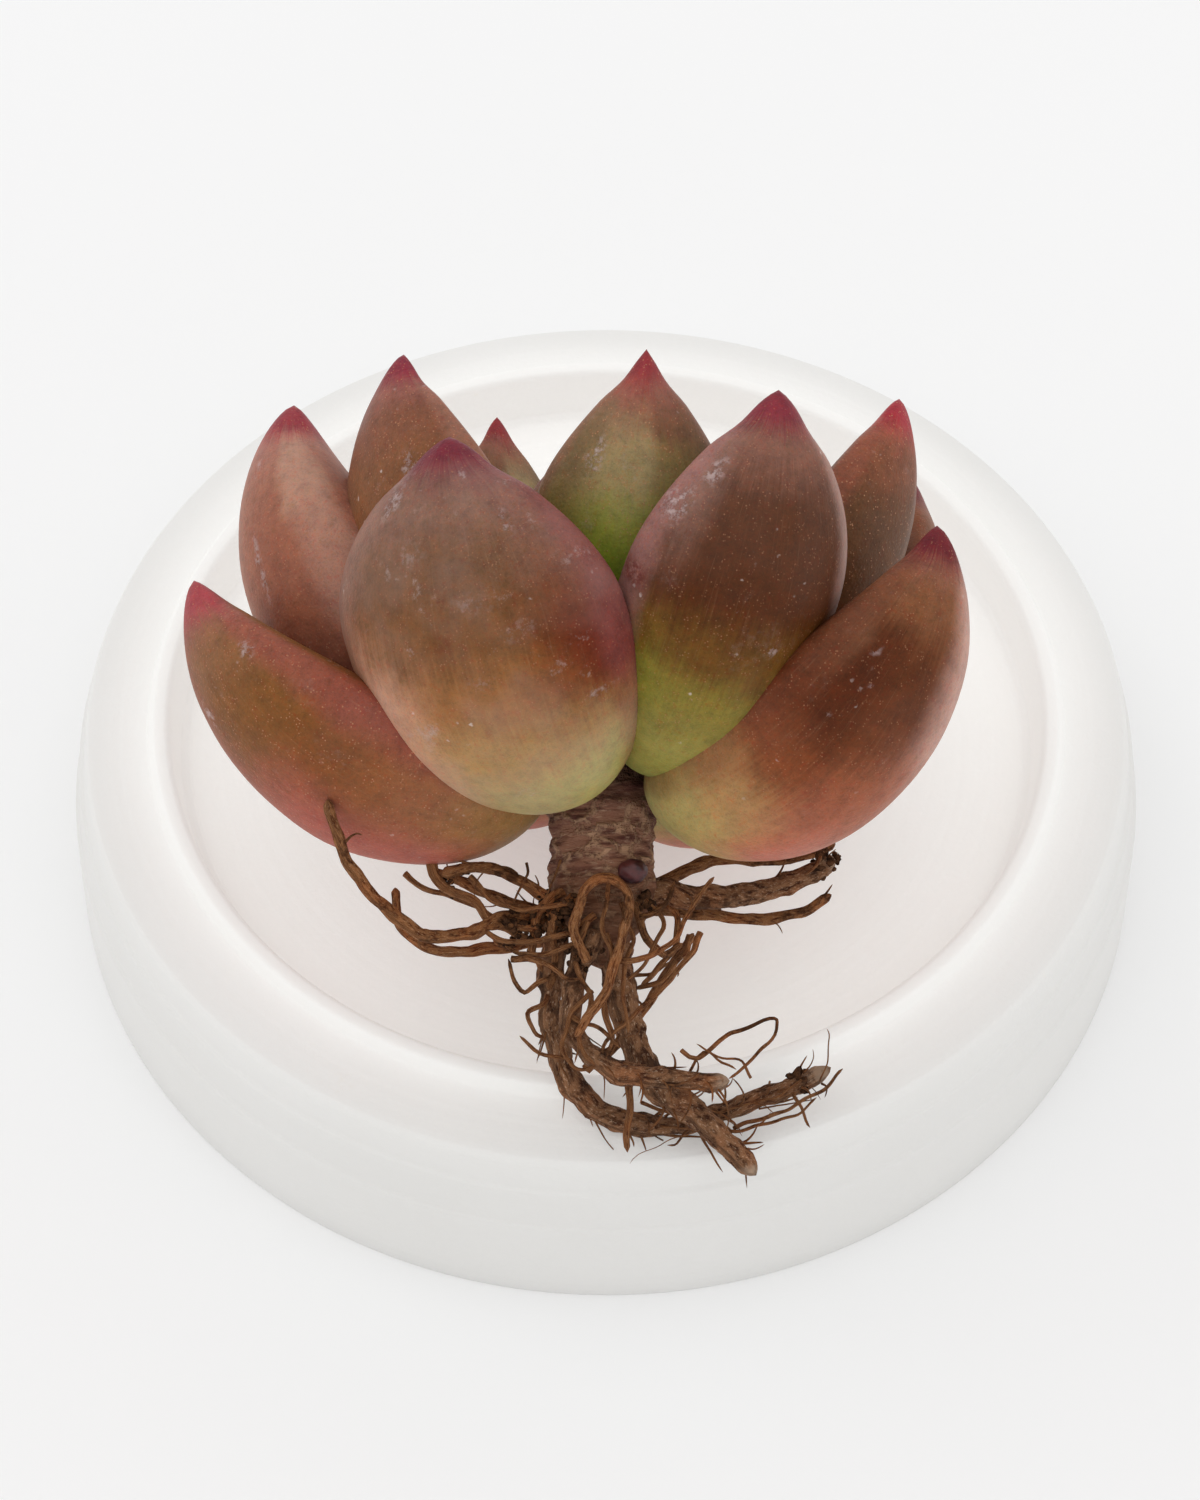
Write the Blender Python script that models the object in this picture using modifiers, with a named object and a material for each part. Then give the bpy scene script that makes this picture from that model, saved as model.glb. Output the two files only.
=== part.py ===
"""Bare-root succulent lying on a frosted lid: rosette leaves, woody stem, roots and the lid, in metres, +Z up."""

import math

import bmesh
import bpy
from mathutils import Matrix, Vector

MM = 0.001
GAP = 0.3 * MM  # clearance between any two pieces that touch

# Frosted lid, standing on its skirt
LID_RADIUS = 49.7 * MM  # at the shoulder
LID_HEIGHT = 20.0 * MM  # table to shoulder
LID_WALL = 1.6 * MM
SKIRT_FLARE = 2.5 * MM  # how much wider the skirt is at its foot
RIM_WIDTH = 8.3 * MM  # shoulder to recess
BEAD_HEIGHT = 1.6 * MM  # the raised bead round the recess, above the shoulder
RECESS_DEPTH = 4.0 * MM  # below the shoulder
LID_STEPS = 72

# The plant lies with its back leaves on the recess floor and its roots on the rim
LYING_LEAN = math.radians(56.6)  # from upright, if floor and rim were level
REST_SPAN = 52.0 * MM  # from the resting leaves to the resting roots
ROOT_OVERHANG = 26.0 * MM  # from the shoulder in to where the lowest leaves join the stem

# Stem
STEM_RADIUS = 4.6 * MM
STEM_TIP_RADIUS = 1.6 * MM
STEM_LENGTH = 9.0 * MM  # bare stem below the leaves
CROWN_LENGTH = 6.8 * MM  # root crown below that
CORE_LENGTH = 15.0 * MM  # stem hidden inside the rosette

# The stem and crown that the root courses were measured round
MEASURED_STEM_RADIUS = 4.6 * MM
MEASURED_STEM_LENGTH = 9.0 * MM
MEASURED_CROWN_LENGTH = 6.8 * MM
ROOT_EASE = 10.0 * MM  # how far from the crown a root stops following it

LEAF_SEGMENTS = 16
LEAF_RINGS = 13


def clear_scene():
    for obj in list(bpy.data.objects):
        bpy.data.objects.remove(obj)


def new_material(name, colour, roughness):
    material = bpy.data.materials.new(name)
    material.use_nodes = True
    shader = material.node_tree.nodes["Principled BSDF"]
    shader.inputs["Base Color"].default_value = (*colour, 1.0)
    shader.inputs["Roughness"].default_value = roughness
    return material


def outline(t, widest):
    """Half width of a leaf at t from base to tip, as a share of its greatest half width."""
    if t < widest:
        return math.sin(math.pi / 2 * (t / widest) ** 0.7)
    return math.sin(math.pi / 2 * ((1 - t) / (1 - widest)) ** 0.84)


def fatness(t):
    """Thickness at t as a share of the greatest: fat low down, thin at the tip."""
    return math.sin(math.pi * t**0.8) ** 0.7 if 0 < t < 1 else 0.0


def core_radius(height):
    share = min(1.0, max(0.0, height / CORE_LENGTH))
    return STEM_RADIUS + (STEM_TIP_RADIUS - STEM_RADIUS) * share**1.5


def leaf(name, turn, height, reach, top, curl, width, thick, roll=0.0, cup=0.10, keel=0.15, widest=0.58):
    """A fleshy leaf: a sphere drawn out along a midrib arc from the stem to a tip at (reach, top)."""
    height, reach, top, width, thick = (v * MM for v in (height, reach, top, width, thick))
    start = core_radius(height) + GAP
    chord = math.hypot(reach - start, top - height)
    slope = math.atan2(top - height, reach - start)
    curl = math.radians(curl)
    rise = slope - curl / 2
    radius = chord / (2 * math.sin(curl / 2))
    roll = math.radians(roll)
    mesh = bpy.data.meshes.new(name)
    shape = bmesh.new()
    bmesh.ops.create_uvsphere(shape, u_segments=LEAF_SEGMENTS, v_segments=LEAF_RINGS, radius=1.0)
    for vertex in shape.verts:
        polar = math.acos(max(-1.0, min(1.0, -vertex.co.z)))
        t = 0.6 * polar / math.pi + 0.4 * (1 - math.cos(polar)) / 2
        around = math.atan2(vertex.co.y, vertex.co.x)
        across = width / 2 * outline(t, widest) * math.cos(around)
        keeled = 1 - abs(math.cos(around))
        sharp = keel * t
        if math.sin(around) > 0:
            back = 0.66 * thick * fatness(t) * ((1 - sharp) * math.sin(around) + sharp * keeled)
        else:
            back = 0.34 * thick * fatness(t) * math.sin(around)
        back -= cup * width / 2 * (across / (width / 2)) ** 2
        turned = across * math.cos(roll) - back * math.sin(roll)
        back = across * math.sin(roll) + back * math.cos(roll)
        angle = rise + curl * t
        out = start + radius * (math.sin(angle) - math.sin(rise)) + back * math.sin(angle)
        up = radius * (math.cos(rise) - math.cos(angle)) - back * math.cos(angle)
        vertex.co = (turned, -out, up)
    shape.normal_update()
    bmesh.ops.recalc_face_normals(shape, faces=shape.faces)
    shape.to_mesh(mesh)
    shape.free()
    mesh.shade_smooth()
    obj = bpy.data.objects.new(name, mesh)
    plant_collection.objects.link(obj)
    obj.parent = plant
    obj.location.z = height
    obj.rotation_euler.z = math.radians(turn)
    return obj


def grown(obj):
    """A hidden copy of obj, larger all round by the clearance, to cut its neighbours with."""
    helper = bpy.data.objects.new("room_for_" + obj.name, obj.data.copy())
    cutters.objects.link(helper)
    helper.parent = obj.parent
    helper.location = obj.location
    helper.rotation_euler = obj.rotation_euler
    helper.hide_render = True
    helper.display_type = "WIRE"
    swell = helper.modifiers.new("clearance", "DISPLACE")
    swell.strength = GAP
    swell.mid_level = 0.0
    return helper


def make_room(obj, helpers):
    """obj gives way to the leaves that were there first."""
    for helper in helpers:
        cut = obj.modifiers.new(helper.name, "BOOLEAN")
        cut.operation = "DIFFERENCE"
        cut.solver = "EXACT"
        cut.object = helper


clear_scene()
plant_collection = bpy.data.collections.new("bare_root_succulent")
bpy.context.scene.collection.children.link(plant_collection)
cutters = bpy.data.collections.new("cutters")
bpy.context.scene.collection.children.link(cutters)
plant = bpy.data.objects.new("plant_axis", None)
plant_collection.objects.link(plant)
plant_tilt = LYING_LEAN + math.atan(RECESS_DEPTH / REST_SPAN)
plant.rotation_euler.x = -plant_tilt

# name, turn, base height, tip reach, tip height, curl, width, thickness, roll; degrees and millimetres
# Leaves that keep their full shape come first, and the later ones give way to them.
LEAVES = [
    ("outer_leaf_front", -28, 0.6, 25.5, 25.8, 68, 26.5, 12.5, 0),
    ("outer_leaf_right", 57, 0.0, 32.2, 19.4, 70, 21.0, 13.0, 0),
    ("outer_leaf_left", -76, -0.5, 35.8, 16.1, 66, 24.0, 12.0, 0),
    ("middle_leaf_front_right", 29, 2.8, 28.5, 28.9, 62, 18.5, 11.0, 0),
    ("inner_leaf_front_left", -62, 6.0, 19.3, 35.7, 50, 22.5, 8.5, 0),
    ("middle_leaf_left", -88, 4.5, 27.2, 33.2, 76, 20.0, 12.0, 0),
    ("inner_leaf_front", 9, 7.5, 22.0, 33.0, 45, 15.5, 7.5, 0),
    ("middle_leaf_right", 78, 4.5, 26.0, 32.7, 55, 18.0, 9.5, 0),
    ("outer_leaf_back_right", 110, 2.0, 29.0, 29.7, 70, 22.0, 11.0, 0),
    ("outer_leaf_under_right", 150, 1.8, 35.5, 17.0, 70, 20.0, 10.0, 0),
    ("outer_leaf_under_left", -150, 3.5, 36.4, 19.0, 70, 21.0, 10.0, 0),
    ("middle_leaf_back", -175, 4.0, 26.0, 30.0, 55, 18.0, 9.0, 0),
    ("middle_leaf_back_right", 135, 6.0, 22.0, 31.0, 50, 15.0, 8.0, 0),
    ("middle_leaf_back_left", -118, 5.0, 25.0, 31.0, 55, 17.0, 9.0, 0),
    ("inner_leaf_back", 172, 8.0, 17.0, 32.0, 40, 14.0, 7.0, 0),
    ("inner_leaf_back_left", -140, 8.0, 15.1, 35.1, 35, 12.0, 6.0, 0),
    ("inner_leaf_right", 95, 10.0, 14.0, 30.0, 30, 10.0, 5.0, 0),
    ("heart_leaf_front", -25, 11.5, 9.0, 27.0, 30, 9.0, 4.5, 0),
    ("heart_leaf_back_left", -155, 12.0, 8.5, 26.0, 30, 8.5, 4.2, 0),
    ("heart_leaf_back_right", 125, 12.5, 8.0, 25.0, 30, 8.0, 4.0, 0),
    ("heart_leaf_right", 50, 13.0, 6.0, 24.0, 20, 6.5, 3.5, 0),
]
leaves = []
helpers = []
for row in LEAVES:
    new = leaf(*row)
    new.data.materials.append(new_material(row[0], (0.42, 0.2, 0.14), 0.5))
    near = [helper for helper, turn in helpers if abs((turn - row[1] + 180) % 360 - 180) < 100]
    make_room(new, near)
    leaves.append(new)
    helpers.append((grown(new), row[1]))


def lowest(obj):
    """How far the leaf reaches below the plant's origin once the plant lies down."""
    lie = Matrix.Rotation(-plant_tilt, 3, "X")
    turn = Matrix.Rotation(obj.rotation_euler.z, 3, "Z")
    return min((lie @ (turn @ vertex.co + obj.location)).z for vertex in obj.data.vertices)


recess_floor = LID_HEIGHT - RECESS_DEPTH
resting_height = recess_floor + GAP - min(lowest(obj) for obj in leaves)
plant.location = (-0.3 * MM, ROOT_OVERHANG - LID_RADIUS, resting_height)


def turned(name, profile, steps, parent=None):
    """A solid turned round Z from a profile of (radius, height), outer side first, top to bottom."""
    mesh = bpy.data.meshes.new(name)
    edges = [(i, i + 1) for i in range(len(profile) - 1)]
    mesh.from_pydata([(r, 0.0, z) for r, z in profile], edges, [])
    obj = bpy.data.objects.new(name, mesh)
    plant_collection.objects.link(obj)
    obj.parent = parent
    screw = obj.modifiers.new("turn", "SCREW")
    screw.axis = "Z"
    screw.steps = steps
    screw.render_steps = steps
    screw.use_merge_vertices = True
    screw.merge_threshold = 0.00001
    screw.use_smooth_shade = True
    return obj


# Stem: bare and ringed with leaf scars below the rosette, then swelling into the root crown
scar = 0.25 * MM
stem_profile = [
    (0.0, CORE_LENGTH),
    (STEM_TIP_RADIUS * 0.7, CORE_LENGTH - 0.3 * MM),
]
for step in range(6):
    height = CORE_LENGTH * (0.92 - 0.184 * step)
    stem_profile.append((core_radius(height), height))
for share, swell in ((0.25, scar), (0.45, -scar), (0.65, 0.0), (0.8, -2 * scar), (1.0, -scar)):
    stem_profile.append((STEM_RADIUS + swell, -STEM_LENGTH * share))
for share, width in ((0.2, 0.93), (0.4, 0.72), (0.6, 0.52), (0.8, 0.38), (0.93, 0.25)):
    stem_profile.append((STEM_RADIUS * width, -STEM_LENGTH - CROWN_LENGTH * share))
stem_profile.append((0.0, -STEM_LENGTH - CROWN_LENGTH))
stem = turned("stem", stem_profile, 20, plant)
stem.data.materials.append(new_material("stem", (0.2, 0.11, 0.08), 0.8))


def laid(point):
    """A measured course point in the plant frame. Near the crown it follows the stem's and crown's sizes."""
    across, down, along = (value * MM for value in point)
    out = math.hypot(across, down)
    beside = max(0.0, out - MEASURED_STEM_RADIUS)
    below = max(0.0, -along - MEASURED_CROWN_LENGTH)
    follow = max(0.0, 1 - math.hypot(beside, below) / ROOT_EASE)
    spread = 1 + follow * (STEM_RADIUS - MEASURED_STEM_RADIUS) / out
    share = min(1.0, max(0.0, -along) / MEASURED_CROWN_LENGTH)
    sink = STEM_LENGTH - MEASURED_STEM_LENGTH + share * (CROWN_LENGTH - MEASURED_CROWN_LENGTH)
    return Vector((across * spread, down * spread, along - MEASURED_STEM_LENGTH - follow * sink))


def root(name, thick, taper, points):
    """A root drawn through hand-placed points, thinning towards its end."""
    curve = bpy.data.curves.new(name, "CURVE")
    curve.dimensions = "3D"
    curve.bevel_depth = thick / 2 * MM
    curve.bevel_resolution = 1
    curve.resolution_u = 3
    curve.use_fill_caps = True
    spline = curve.splines.new("BEZIER")
    spline.bezier_points.add(len(points) - 1)
    for index, (knot, point) in enumerate(zip(spline.bezier_points, points)):
        knot.co = laid(point)
        knot.radius = 1 - (1 - taper) * index / (len(points) - 1)
        knot.handle_left_type = knot.handle_right_type = "AUTO"
    obj = bpy.data.objects.new(name, curve)
    plant_collection.objects.link(obj)
    obj.parent = plant
    obj.data.materials.append(new_material(name, (0.23, 0.13, 0.07), 0.85))
    return obj


# Root courses in millimetres from the middle of the stem's lower end: across, down, along the axis
ROOTS = {
    "root_hook": (1.9, 0.6, [(-4.2, 1, -4.6), (-4.6, 2, -9), (-3.6, 3.4, -14), (-1.8, 4.3, -17.5),
                             (0.8, 4.8, -19.4), (5, 4.8, -20), (8.5, 4.8, -19.4), (13.8, 4.3, -17.6),
                             (19.6, 3.4, -15.2)]),
    "root_tap": (2.2, 0.75, [(0.9, 0, -7.4), (2, 0.2, -9.5), (2.8, 0.6, -13.4), (5, 1.2, -16.8),
                             (8.4, 1.8, -19.4), (11, 2.4, -21.6), (12.6, 3, -23)]),
    "root_front": (1.5, 0.6, [(-0.6, -3.9, -3.8), (-2.4, -3.6, -8.4), (-2.6, -3.3, -11.8), (-0.2, -3, -14.7),
                              (4, -2.6, -16), (10.6, -2.2, -16.4)]),
    "root_right": (1.9, 0.6, [(5.4, 0.2, 0), (8.4, 1, -0.6), (13.6, 2, 0.1), (17, 2, 1.2), (20.2, 2, 3)]),
    "root_right_upper": (1.0, 0.8, [(5.6, 3.2, 1.2), (10.2, 4.6, 3.1), (15.5, 4.8, 3), (20.2, 4.6, 4.4)]),
    "root_right_lower": (1.2, 0.7, [(4.8, 3.4, -1.4), (8.6, 4.6, -1.6), (13, 4.8, -2), (17.2, 4.6, -1.6),
                                    (19.8, 4.4, 0)]),
    "root_left_long": (1.1, 0.7, [(-4.6, -1.2, -3), (-8.5, -3, -2.6), (-11.1, -5, -4), (-14.3, -7, -4.5),
                                  (-17.5, -9, -2.6), (-20.7, -11, 1), (-21.8, -12.2, 3.6),
                                  (-22.4, -13, 6.4)]),
    "root_left_under": (0.9, 0.8, [(-5.6, 3, -4.2), (-8, 3, -4.8), (-11.4, 3.4, -5.4), (-15.2, 4, -5.2),
                                   (-17.5, 4.6, -2.8), (-17.9, 5, 0)]),
    "root_left_upper": (1.1, 0.8, [(-4.8, -2.4, -0.8), (-7, -3, 0.6), (-9.5, -3.8, 1.6), (-13.6, -4.6, 1)]),
    "root_left_back": (1.0, 0.8, [(-4.8, 2.4, -1.8), (-8.8, 2.4, -0.4), (-12.2, 2.2, 0.8), (-14.6, 2, 1.6)]),
    "root_loop": (0.8, 0.9, [(-1, -5.6, -6), (-2.2, -5.7, -2.8), (-1.1, -5.8, 0), (0.7, -5.8, 0.2),
                             (1.4, -5.8, -1.4), (0.4, -5.6, -6), (0, -5.5, -9.4), (-2.2, -5.5, -12.6)]),
    "root_back": (0.9, 0.8, [(-1.4, 3.6, -15.2), (1.2, 4, -13), (3.2, 4, -10.6), (5.8, 4, -6.6), (7.8, 4, -3.6)]),
}
for name, (thick, taper, course) in ROOTS.items():
    root(name, thick, taper, course)

# Frosted lid: a hollow shell standing on its skirt, with a recessed top inside a raised bead
recess_radius = LID_RADIUS - RIM_WIDTH
foot = LID_RADIUS + SKIRT_FLARE
lid_profile = [
    (0.0, recess_floor),
    (recess_radius - 1.4 * MM, recess_floor),
    (recess_radius - 0.6 * MM, recess_floor + 0.5 * MM),
    (recess_radius, LID_HEIGHT + BEAD_HEIGHT - 0.4 * MM),
    (recess_radius + 0.4 * MM, LID_HEIGHT + BEAD_HEIGHT),
    (recess_radius + 1.5 * MM, LID_HEIGHT + BEAD_HEIGHT),
    (recess_radius + 2.2 * MM, LID_HEIGHT + 0.3 * MM),
    (LID_RADIUS - 1.6 * MM, LID_HEIGHT),
    (LID_RADIUS - 0.4 * MM, LID_HEIGHT - 0.3 * MM),
    (LID_RADIUS, LID_HEIGHT - 1.0 * MM),
    (LID_RADIUS + SKIRT_FLARE * 0.2, LID_HEIGHT * 0.8),
    (LID_RADIUS + SKIRT_FLARE * 0.38, LID_HEIGHT * 0.79),
    (LID_RADIUS + SKIRT_FLARE * 0.6, LID_HEIGHT * 0.56),
    (LID_RADIUS + SKIRT_FLARE * 0.75, LID_HEIGHT * 0.55),
    (foot, 0.0),
    (foot - LID_WALL, 0.0),
    (LID_RADIUS - LID_WALL, LID_HEIGHT - LID_WALL - 1.0 * MM),
    (LID_RADIUS - LID_WALL - 0.8 * MM, LID_HEIGHT - LID_WALL),
    (recess_radius + LID_WALL + 0.6 * MM, LID_HEIGHT - LID_WALL),
    (recess_radius + LID_WALL - 0.2 * MM, recess_floor - LID_WALL + 0.6 * MM),
    (recess_radius + LID_WALL - 0.8 * MM, recess_floor - LID_WALL),
    (0.0, recess_floor - LID_WALL),
]
lid = turned("frosted_lid", lid_profile, LID_STEPS)
lid.data.materials.append(new_material("frosted_lid", (0.85, 0.85, 0.84), 0.45))
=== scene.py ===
# %% [markdown]
# # A bare-root rosette resting on a frosted lid
# The real object is a small succulent, lifted out of its soil and laid on its side on a shallow
# plastic lid. Its fleshy leaves sit in a spiral on a short barky stem, and the stem ends in a tangle
# of dry roots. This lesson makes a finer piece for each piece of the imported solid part, in the
# part's own frame.

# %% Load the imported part
import math
import random

import bpy
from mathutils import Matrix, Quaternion, Vector, noise


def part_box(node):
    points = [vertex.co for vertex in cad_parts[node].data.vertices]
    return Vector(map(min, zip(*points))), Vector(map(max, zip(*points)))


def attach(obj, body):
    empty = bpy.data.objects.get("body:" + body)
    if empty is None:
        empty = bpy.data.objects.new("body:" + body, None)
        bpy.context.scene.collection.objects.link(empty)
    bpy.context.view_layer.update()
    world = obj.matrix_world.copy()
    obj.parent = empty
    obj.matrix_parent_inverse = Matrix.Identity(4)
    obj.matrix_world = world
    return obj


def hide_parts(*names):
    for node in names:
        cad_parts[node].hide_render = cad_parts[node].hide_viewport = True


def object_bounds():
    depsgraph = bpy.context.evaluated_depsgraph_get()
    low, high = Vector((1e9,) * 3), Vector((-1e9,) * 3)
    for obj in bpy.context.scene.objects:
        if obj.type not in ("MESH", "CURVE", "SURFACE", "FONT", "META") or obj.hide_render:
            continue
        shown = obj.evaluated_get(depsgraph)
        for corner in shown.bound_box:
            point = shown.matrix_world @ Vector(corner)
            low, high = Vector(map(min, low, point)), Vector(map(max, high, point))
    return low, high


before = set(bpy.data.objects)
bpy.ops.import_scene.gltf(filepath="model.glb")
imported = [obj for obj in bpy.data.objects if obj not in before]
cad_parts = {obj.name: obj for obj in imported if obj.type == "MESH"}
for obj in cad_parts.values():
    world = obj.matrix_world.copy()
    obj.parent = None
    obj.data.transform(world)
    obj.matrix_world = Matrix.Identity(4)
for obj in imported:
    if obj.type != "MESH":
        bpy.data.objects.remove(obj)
cad_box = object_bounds()
MM = 0.001
# vector noise starts from the clock unless it is given a seed
NOISE_SEED = 5
noise.seed_set(NOISE_SEED)
print("parts in the frame:", len(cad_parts))
print("box of the part, mm:", [[round(v / MM, 1) for v in corner] for corner in cad_box])

# %% [markdown]
# ## Small helpers
# Blender's operators act on whatever is selected, and the loaded parts arrive selected, so the
# first helper clears the selection. The others pick one object, as a click would, name a colour by
# its screen value, and make, spin and finish a mesh.

# %% Selecting and naming colours
def nothing_selected():
    if bpy.context.mode != "OBJECT":
        bpy.ops.object.mode_set(mode="OBJECT")
    bpy.ops.object.select_all(action="DESELECT")


def only(piece):
    nothing_selected()
    piece.select_set(True)
    bpy.context.view_layer.objects.active = piece


def paint(red, green, blue):
    """A screen colour from 0 to 255 as the linear colour that a shader wants."""
    def linear(v):
        v = v / 255
        return v / 12.92 if v <= 0.04045 else ((v + 0.055) / 1.055) ** 2.4
    return (linear(red), linear(green), linear(blue), 1.0)


def clamp(value, low=0.0, high=1.0):
    return max(low, min(high, value))


def ease(value, low, high):
    """0 below low, 1 above high, and a soft step between them."""
    s = clamp((value - low) / (high - low))
    return s * s * (3 - 2 * s)


def new_piece(name, points, edges, faces):
    """An object with a mesh of its own, in the scene."""
    mesh = bpy.data.meshes.new(name)
    mesh.from_pydata(points, edges, faces)
    piece = bpy.data.objects.new(name, mesh)
    bpy.context.scene.collection.objects.link(piece)
    return piece


def close_up(piece):
    """Turns every face outwards and shades the piece smooth."""
    only(piece)
    bpy.ops.object.mode_set(mode="EDIT")
    bpy.ops.mesh.select_all(action="SELECT")
    bpy.ops.mesh.normals_make_consistent(inside=False)
    bpy.ops.object.mode_set(mode="OBJECT")
    bpy.ops.object.shade_smooth()


MERGE_DISTANCE = 0.00001


def spin_outline(name, points, steps, center, axis):
    """A closed body, from a line of points that starts and ends on the axis."""
    piece = new_piece(name, points, [(i, i + 1) for i in range(len(points) - 1)], [])
    only(piece)
    bpy.ops.object.mode_set(mode="EDIT")
    bpy.ops.mesh.select_all(action="SELECT")
    bpy.ops.mesh.spin(steps=steps, angle=math.tau, center=center, axis=axis)
    bpy.ops.mesh.select_all(action="SELECT")
    bpy.ops.mesh.remove_doubles(threshold=MERGE_DISTANCE)
    bpy.ops.mesh.normals_make_consistent(inside=False)
    bpy.ops.object.mode_set(mode="OBJECT")
    return piece


# %% [markdown]
# ## Floor, light and camera
# The real object stands on a white table in wide, soft daylight, so its shadows are faint. An even
# world lights it from everywhere, and four very wide suns, one behind, one in front and one at
# each side, shape the leaves gently. The camera looks down at the lid from in front, about as
# steeply as someone leaning over it.

# %% Stage, light and camera
CAMERA_PLACE = Vector((0, -180.5, 260.0)) * MM
CAMERA_TARGET = Vector((-0.57, -3.68, 17.6)) * MM
LENS = 75.5
FLOOR_SIZE = 14.0
SKY_STRENGTH = 0.63
SUN_STRENGTH = 0.44
FILL_STRENGTH = 0.38
SIDE_STRENGTH = 0.38
LEFT_EXTRA = 0.12
SUNS = [("wide_window", SUN_STRENGTH, -32, -8), ("front_fill", FILL_STRENGTH, 40, 6),
        ("left_fill", SIDE_STRENGTH + LEFT_EXTRA, 0, -60), ("right_fill", SIDE_STRENGTH, 0, 60)]
SUN_WIDTH = math.radians(80)


def set_stage():
    nothing_selected()
    bpy.ops.mesh.primitive_plane_add(size=FLOOR_SIZE, location=(0, 0, cad_box[0][2]))
    floor = bpy.context.active_object
    floor.name = "floor"
    bpy.ops.object.transform_apply(location=True)
    white = bpy.data.materials.new("white_table")
    white.use_nodes = True
    shader = white.node_tree.nodes["Principled BSDF"]
    shader.inputs["Base Color"].default_value = (0.95, 0.95, 0.95, 1)
    shader.inputs["Roughness"].default_value = 0.9
    shader.inputs["Specular IOR Level"].default_value = 0.1
    floor.data.materials.append(white)

    world = bpy.data.worlds.new("soft_room")
    world.use_nodes = True
    world.node_tree.nodes["Background"].inputs["Color"].default_value = (1.0, 1.0, 1.0, 1)
    world.node_tree.nodes["Background"].inputs["Strength"].default_value = SKY_STRENGTH
    bpy.context.scene.world = world

    for name, strength, lean, turn in SUNS:
        sun = bpy.data.lights.new(name, "SUN")
        sun.energy = strength
        sun.angle = SUN_WIDTH
        lamp = bpy.data.objects.new(name, sun)
        lamp.rotation_euler = (math.radians(lean), math.radians(turn), 0)
        bpy.context.scene.collection.objects.link(lamp)

    lens = bpy.data.cameras.new("camera")
    lens.lens = LENS
    lens.sensor_width = 36.0
    lens.clip_start = 0.01
    camera = bpy.data.objects.new("camera", lens)
    camera.location = CAMERA_PLACE
    camera.rotation_euler = (CAMERA_TARGET - CAMERA_PLACE).to_track_quat("-Z", "Y").to_euler()
    bpy.context.scene.collection.objects.link(camera)
    bpy.context.scene.camera = camera
    bpy.context.scene.view_settings.view_transform = "Standard"
    print("camera looks down by", round(math.degrees(math.asin(
        (CAMERA_PLACE - CAMERA_TARGET).normalized().z)), 1), "degrees")


set_stage()

# %% [markdown]
# ## Where the plant lies
# The plant was built upright and then tipped over. Its own frame is found again from the stem: the
# growth axis leans back by the same angle as in the part, and the tip of the stem is the highest
# point along that axis, on the axis itself.

# %% The plant's own frame
LYING_LEAN = math.radians(56.6)
RECESS_DEPTH = 4.0
REST_SPAN = 52.0
CORE_LENGTH = 15.0
STEM_RADIUS = 4.6
STEM_TIP_RADIUS = 1.6
STEM_LENGTH = 9.0
tilt = LYING_LEAN + math.atan(RECESS_DEPTH / REST_SPAN)
GROWTH = Vector((0, math.sin(tilt), math.cos(tilt)))
DOWN_SIDE = Vector((0, math.cos(tilt), -math.sin(tilt)))
stem_points = [v.co.copy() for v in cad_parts["stem"].data.vertices]
top_height = max(p.dot(GROWTH) for p in stem_points)
top_ring = [p for p in stem_points if p.dot(GROWTH) > top_height - 0.05 * MM]
top_middle = sum(top_ring, Vector()) / len(top_ring)
STEM_TIP_HEIGHT = 14.7
CROWN_POINT = top_middle - GROWTH * STEM_TIP_HEIGHT * MM


def in_plant(x, y, z):
    """A point of the plant's own frame, in mm, as a place in the part's frame, in metres."""
    return CROWN_POINT + Vector((x * MM, 0, 0)) + DOWN_SIDE * (y * MM) + GROWTH * (z * MM)


print("rosette centre, mm:", [round(v / MM, 2) for v in CROWN_POINT])

# %% [markdown]
# ## Shader building blocks
# Leaves, bark and lid share a few effects. Each is a node group with named inputs, so one idea is
# built once and each material gives it its own values. The little writer below adds a node and
# joins or sets its inputs in one line, which keeps the recipes readable.

# %% A short way to write nodes
def node(tree, kind, inputs=None, **settings):
    made = tree.nodes.new(kind)
    for key, value in settings.items():
        setattr(made, key, value)
    for key, value in (inputs or {}).items():
        if isinstance(value, bpy.types.NodeSocket):
            tree.links.new(value, made.inputs[key])
        else:
            made.inputs[key].default_value = value
    return made


def calc(tree, operation, a, b=0.0, clamped=False):
    return node(tree, "ShaderNodeMath", {0: a, 1: b}, operation=operation,
                use_clamp=clamped).outputs[0]


def times(tree, a, b):
    return calc(tree, "MULTIPLY", a, b)


def plus(tree, a, b):
    return calc(tree, "ADD", a, b)


def minus(tree, a, b):
    return calc(tree, "SUBTRACT", a, b)


def soft_step(tree, value, low, high):
    return node(tree, "ShaderNodeMapRange", {"Value": value, "From Min": low, "From Max": high},
                interpolation_type="SMOOTHSTEP").outputs["Result"]


def lay_over(tree, mask, under, over, mode="MIX"):
    return node(tree, "ShaderNodeMix", {0: mask, 6: under, 7: over}, data_type="RGBA",
                blend_type=mode).outputs[2]


def stain(tree, colour, mask, strength, tint, mode="MIX"):
    """Lays a screen colour over another one, where the mask is and as strongly as told."""
    over = paint(*tint)
    if mode != "MIX":
        over = lay_over(tree, 1.0, colour, over, mode)
    return lay_over(tree, times(tree, mask, strength), colour, over)


def stored(tree, name):
    """A vector that each point of a mesh keeps, and its three parts."""
    kept = node(tree, "ShaderNodeAttribute", attribute_name=name).outputs["Vector"]
    return kept, node(tree, "ShaderNodeSeparateXYZ", {0: kept}).outputs


def object_place(tree):
    return node(tree, "ShaderNodeTexCoord").outputs["Object"]


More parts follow.
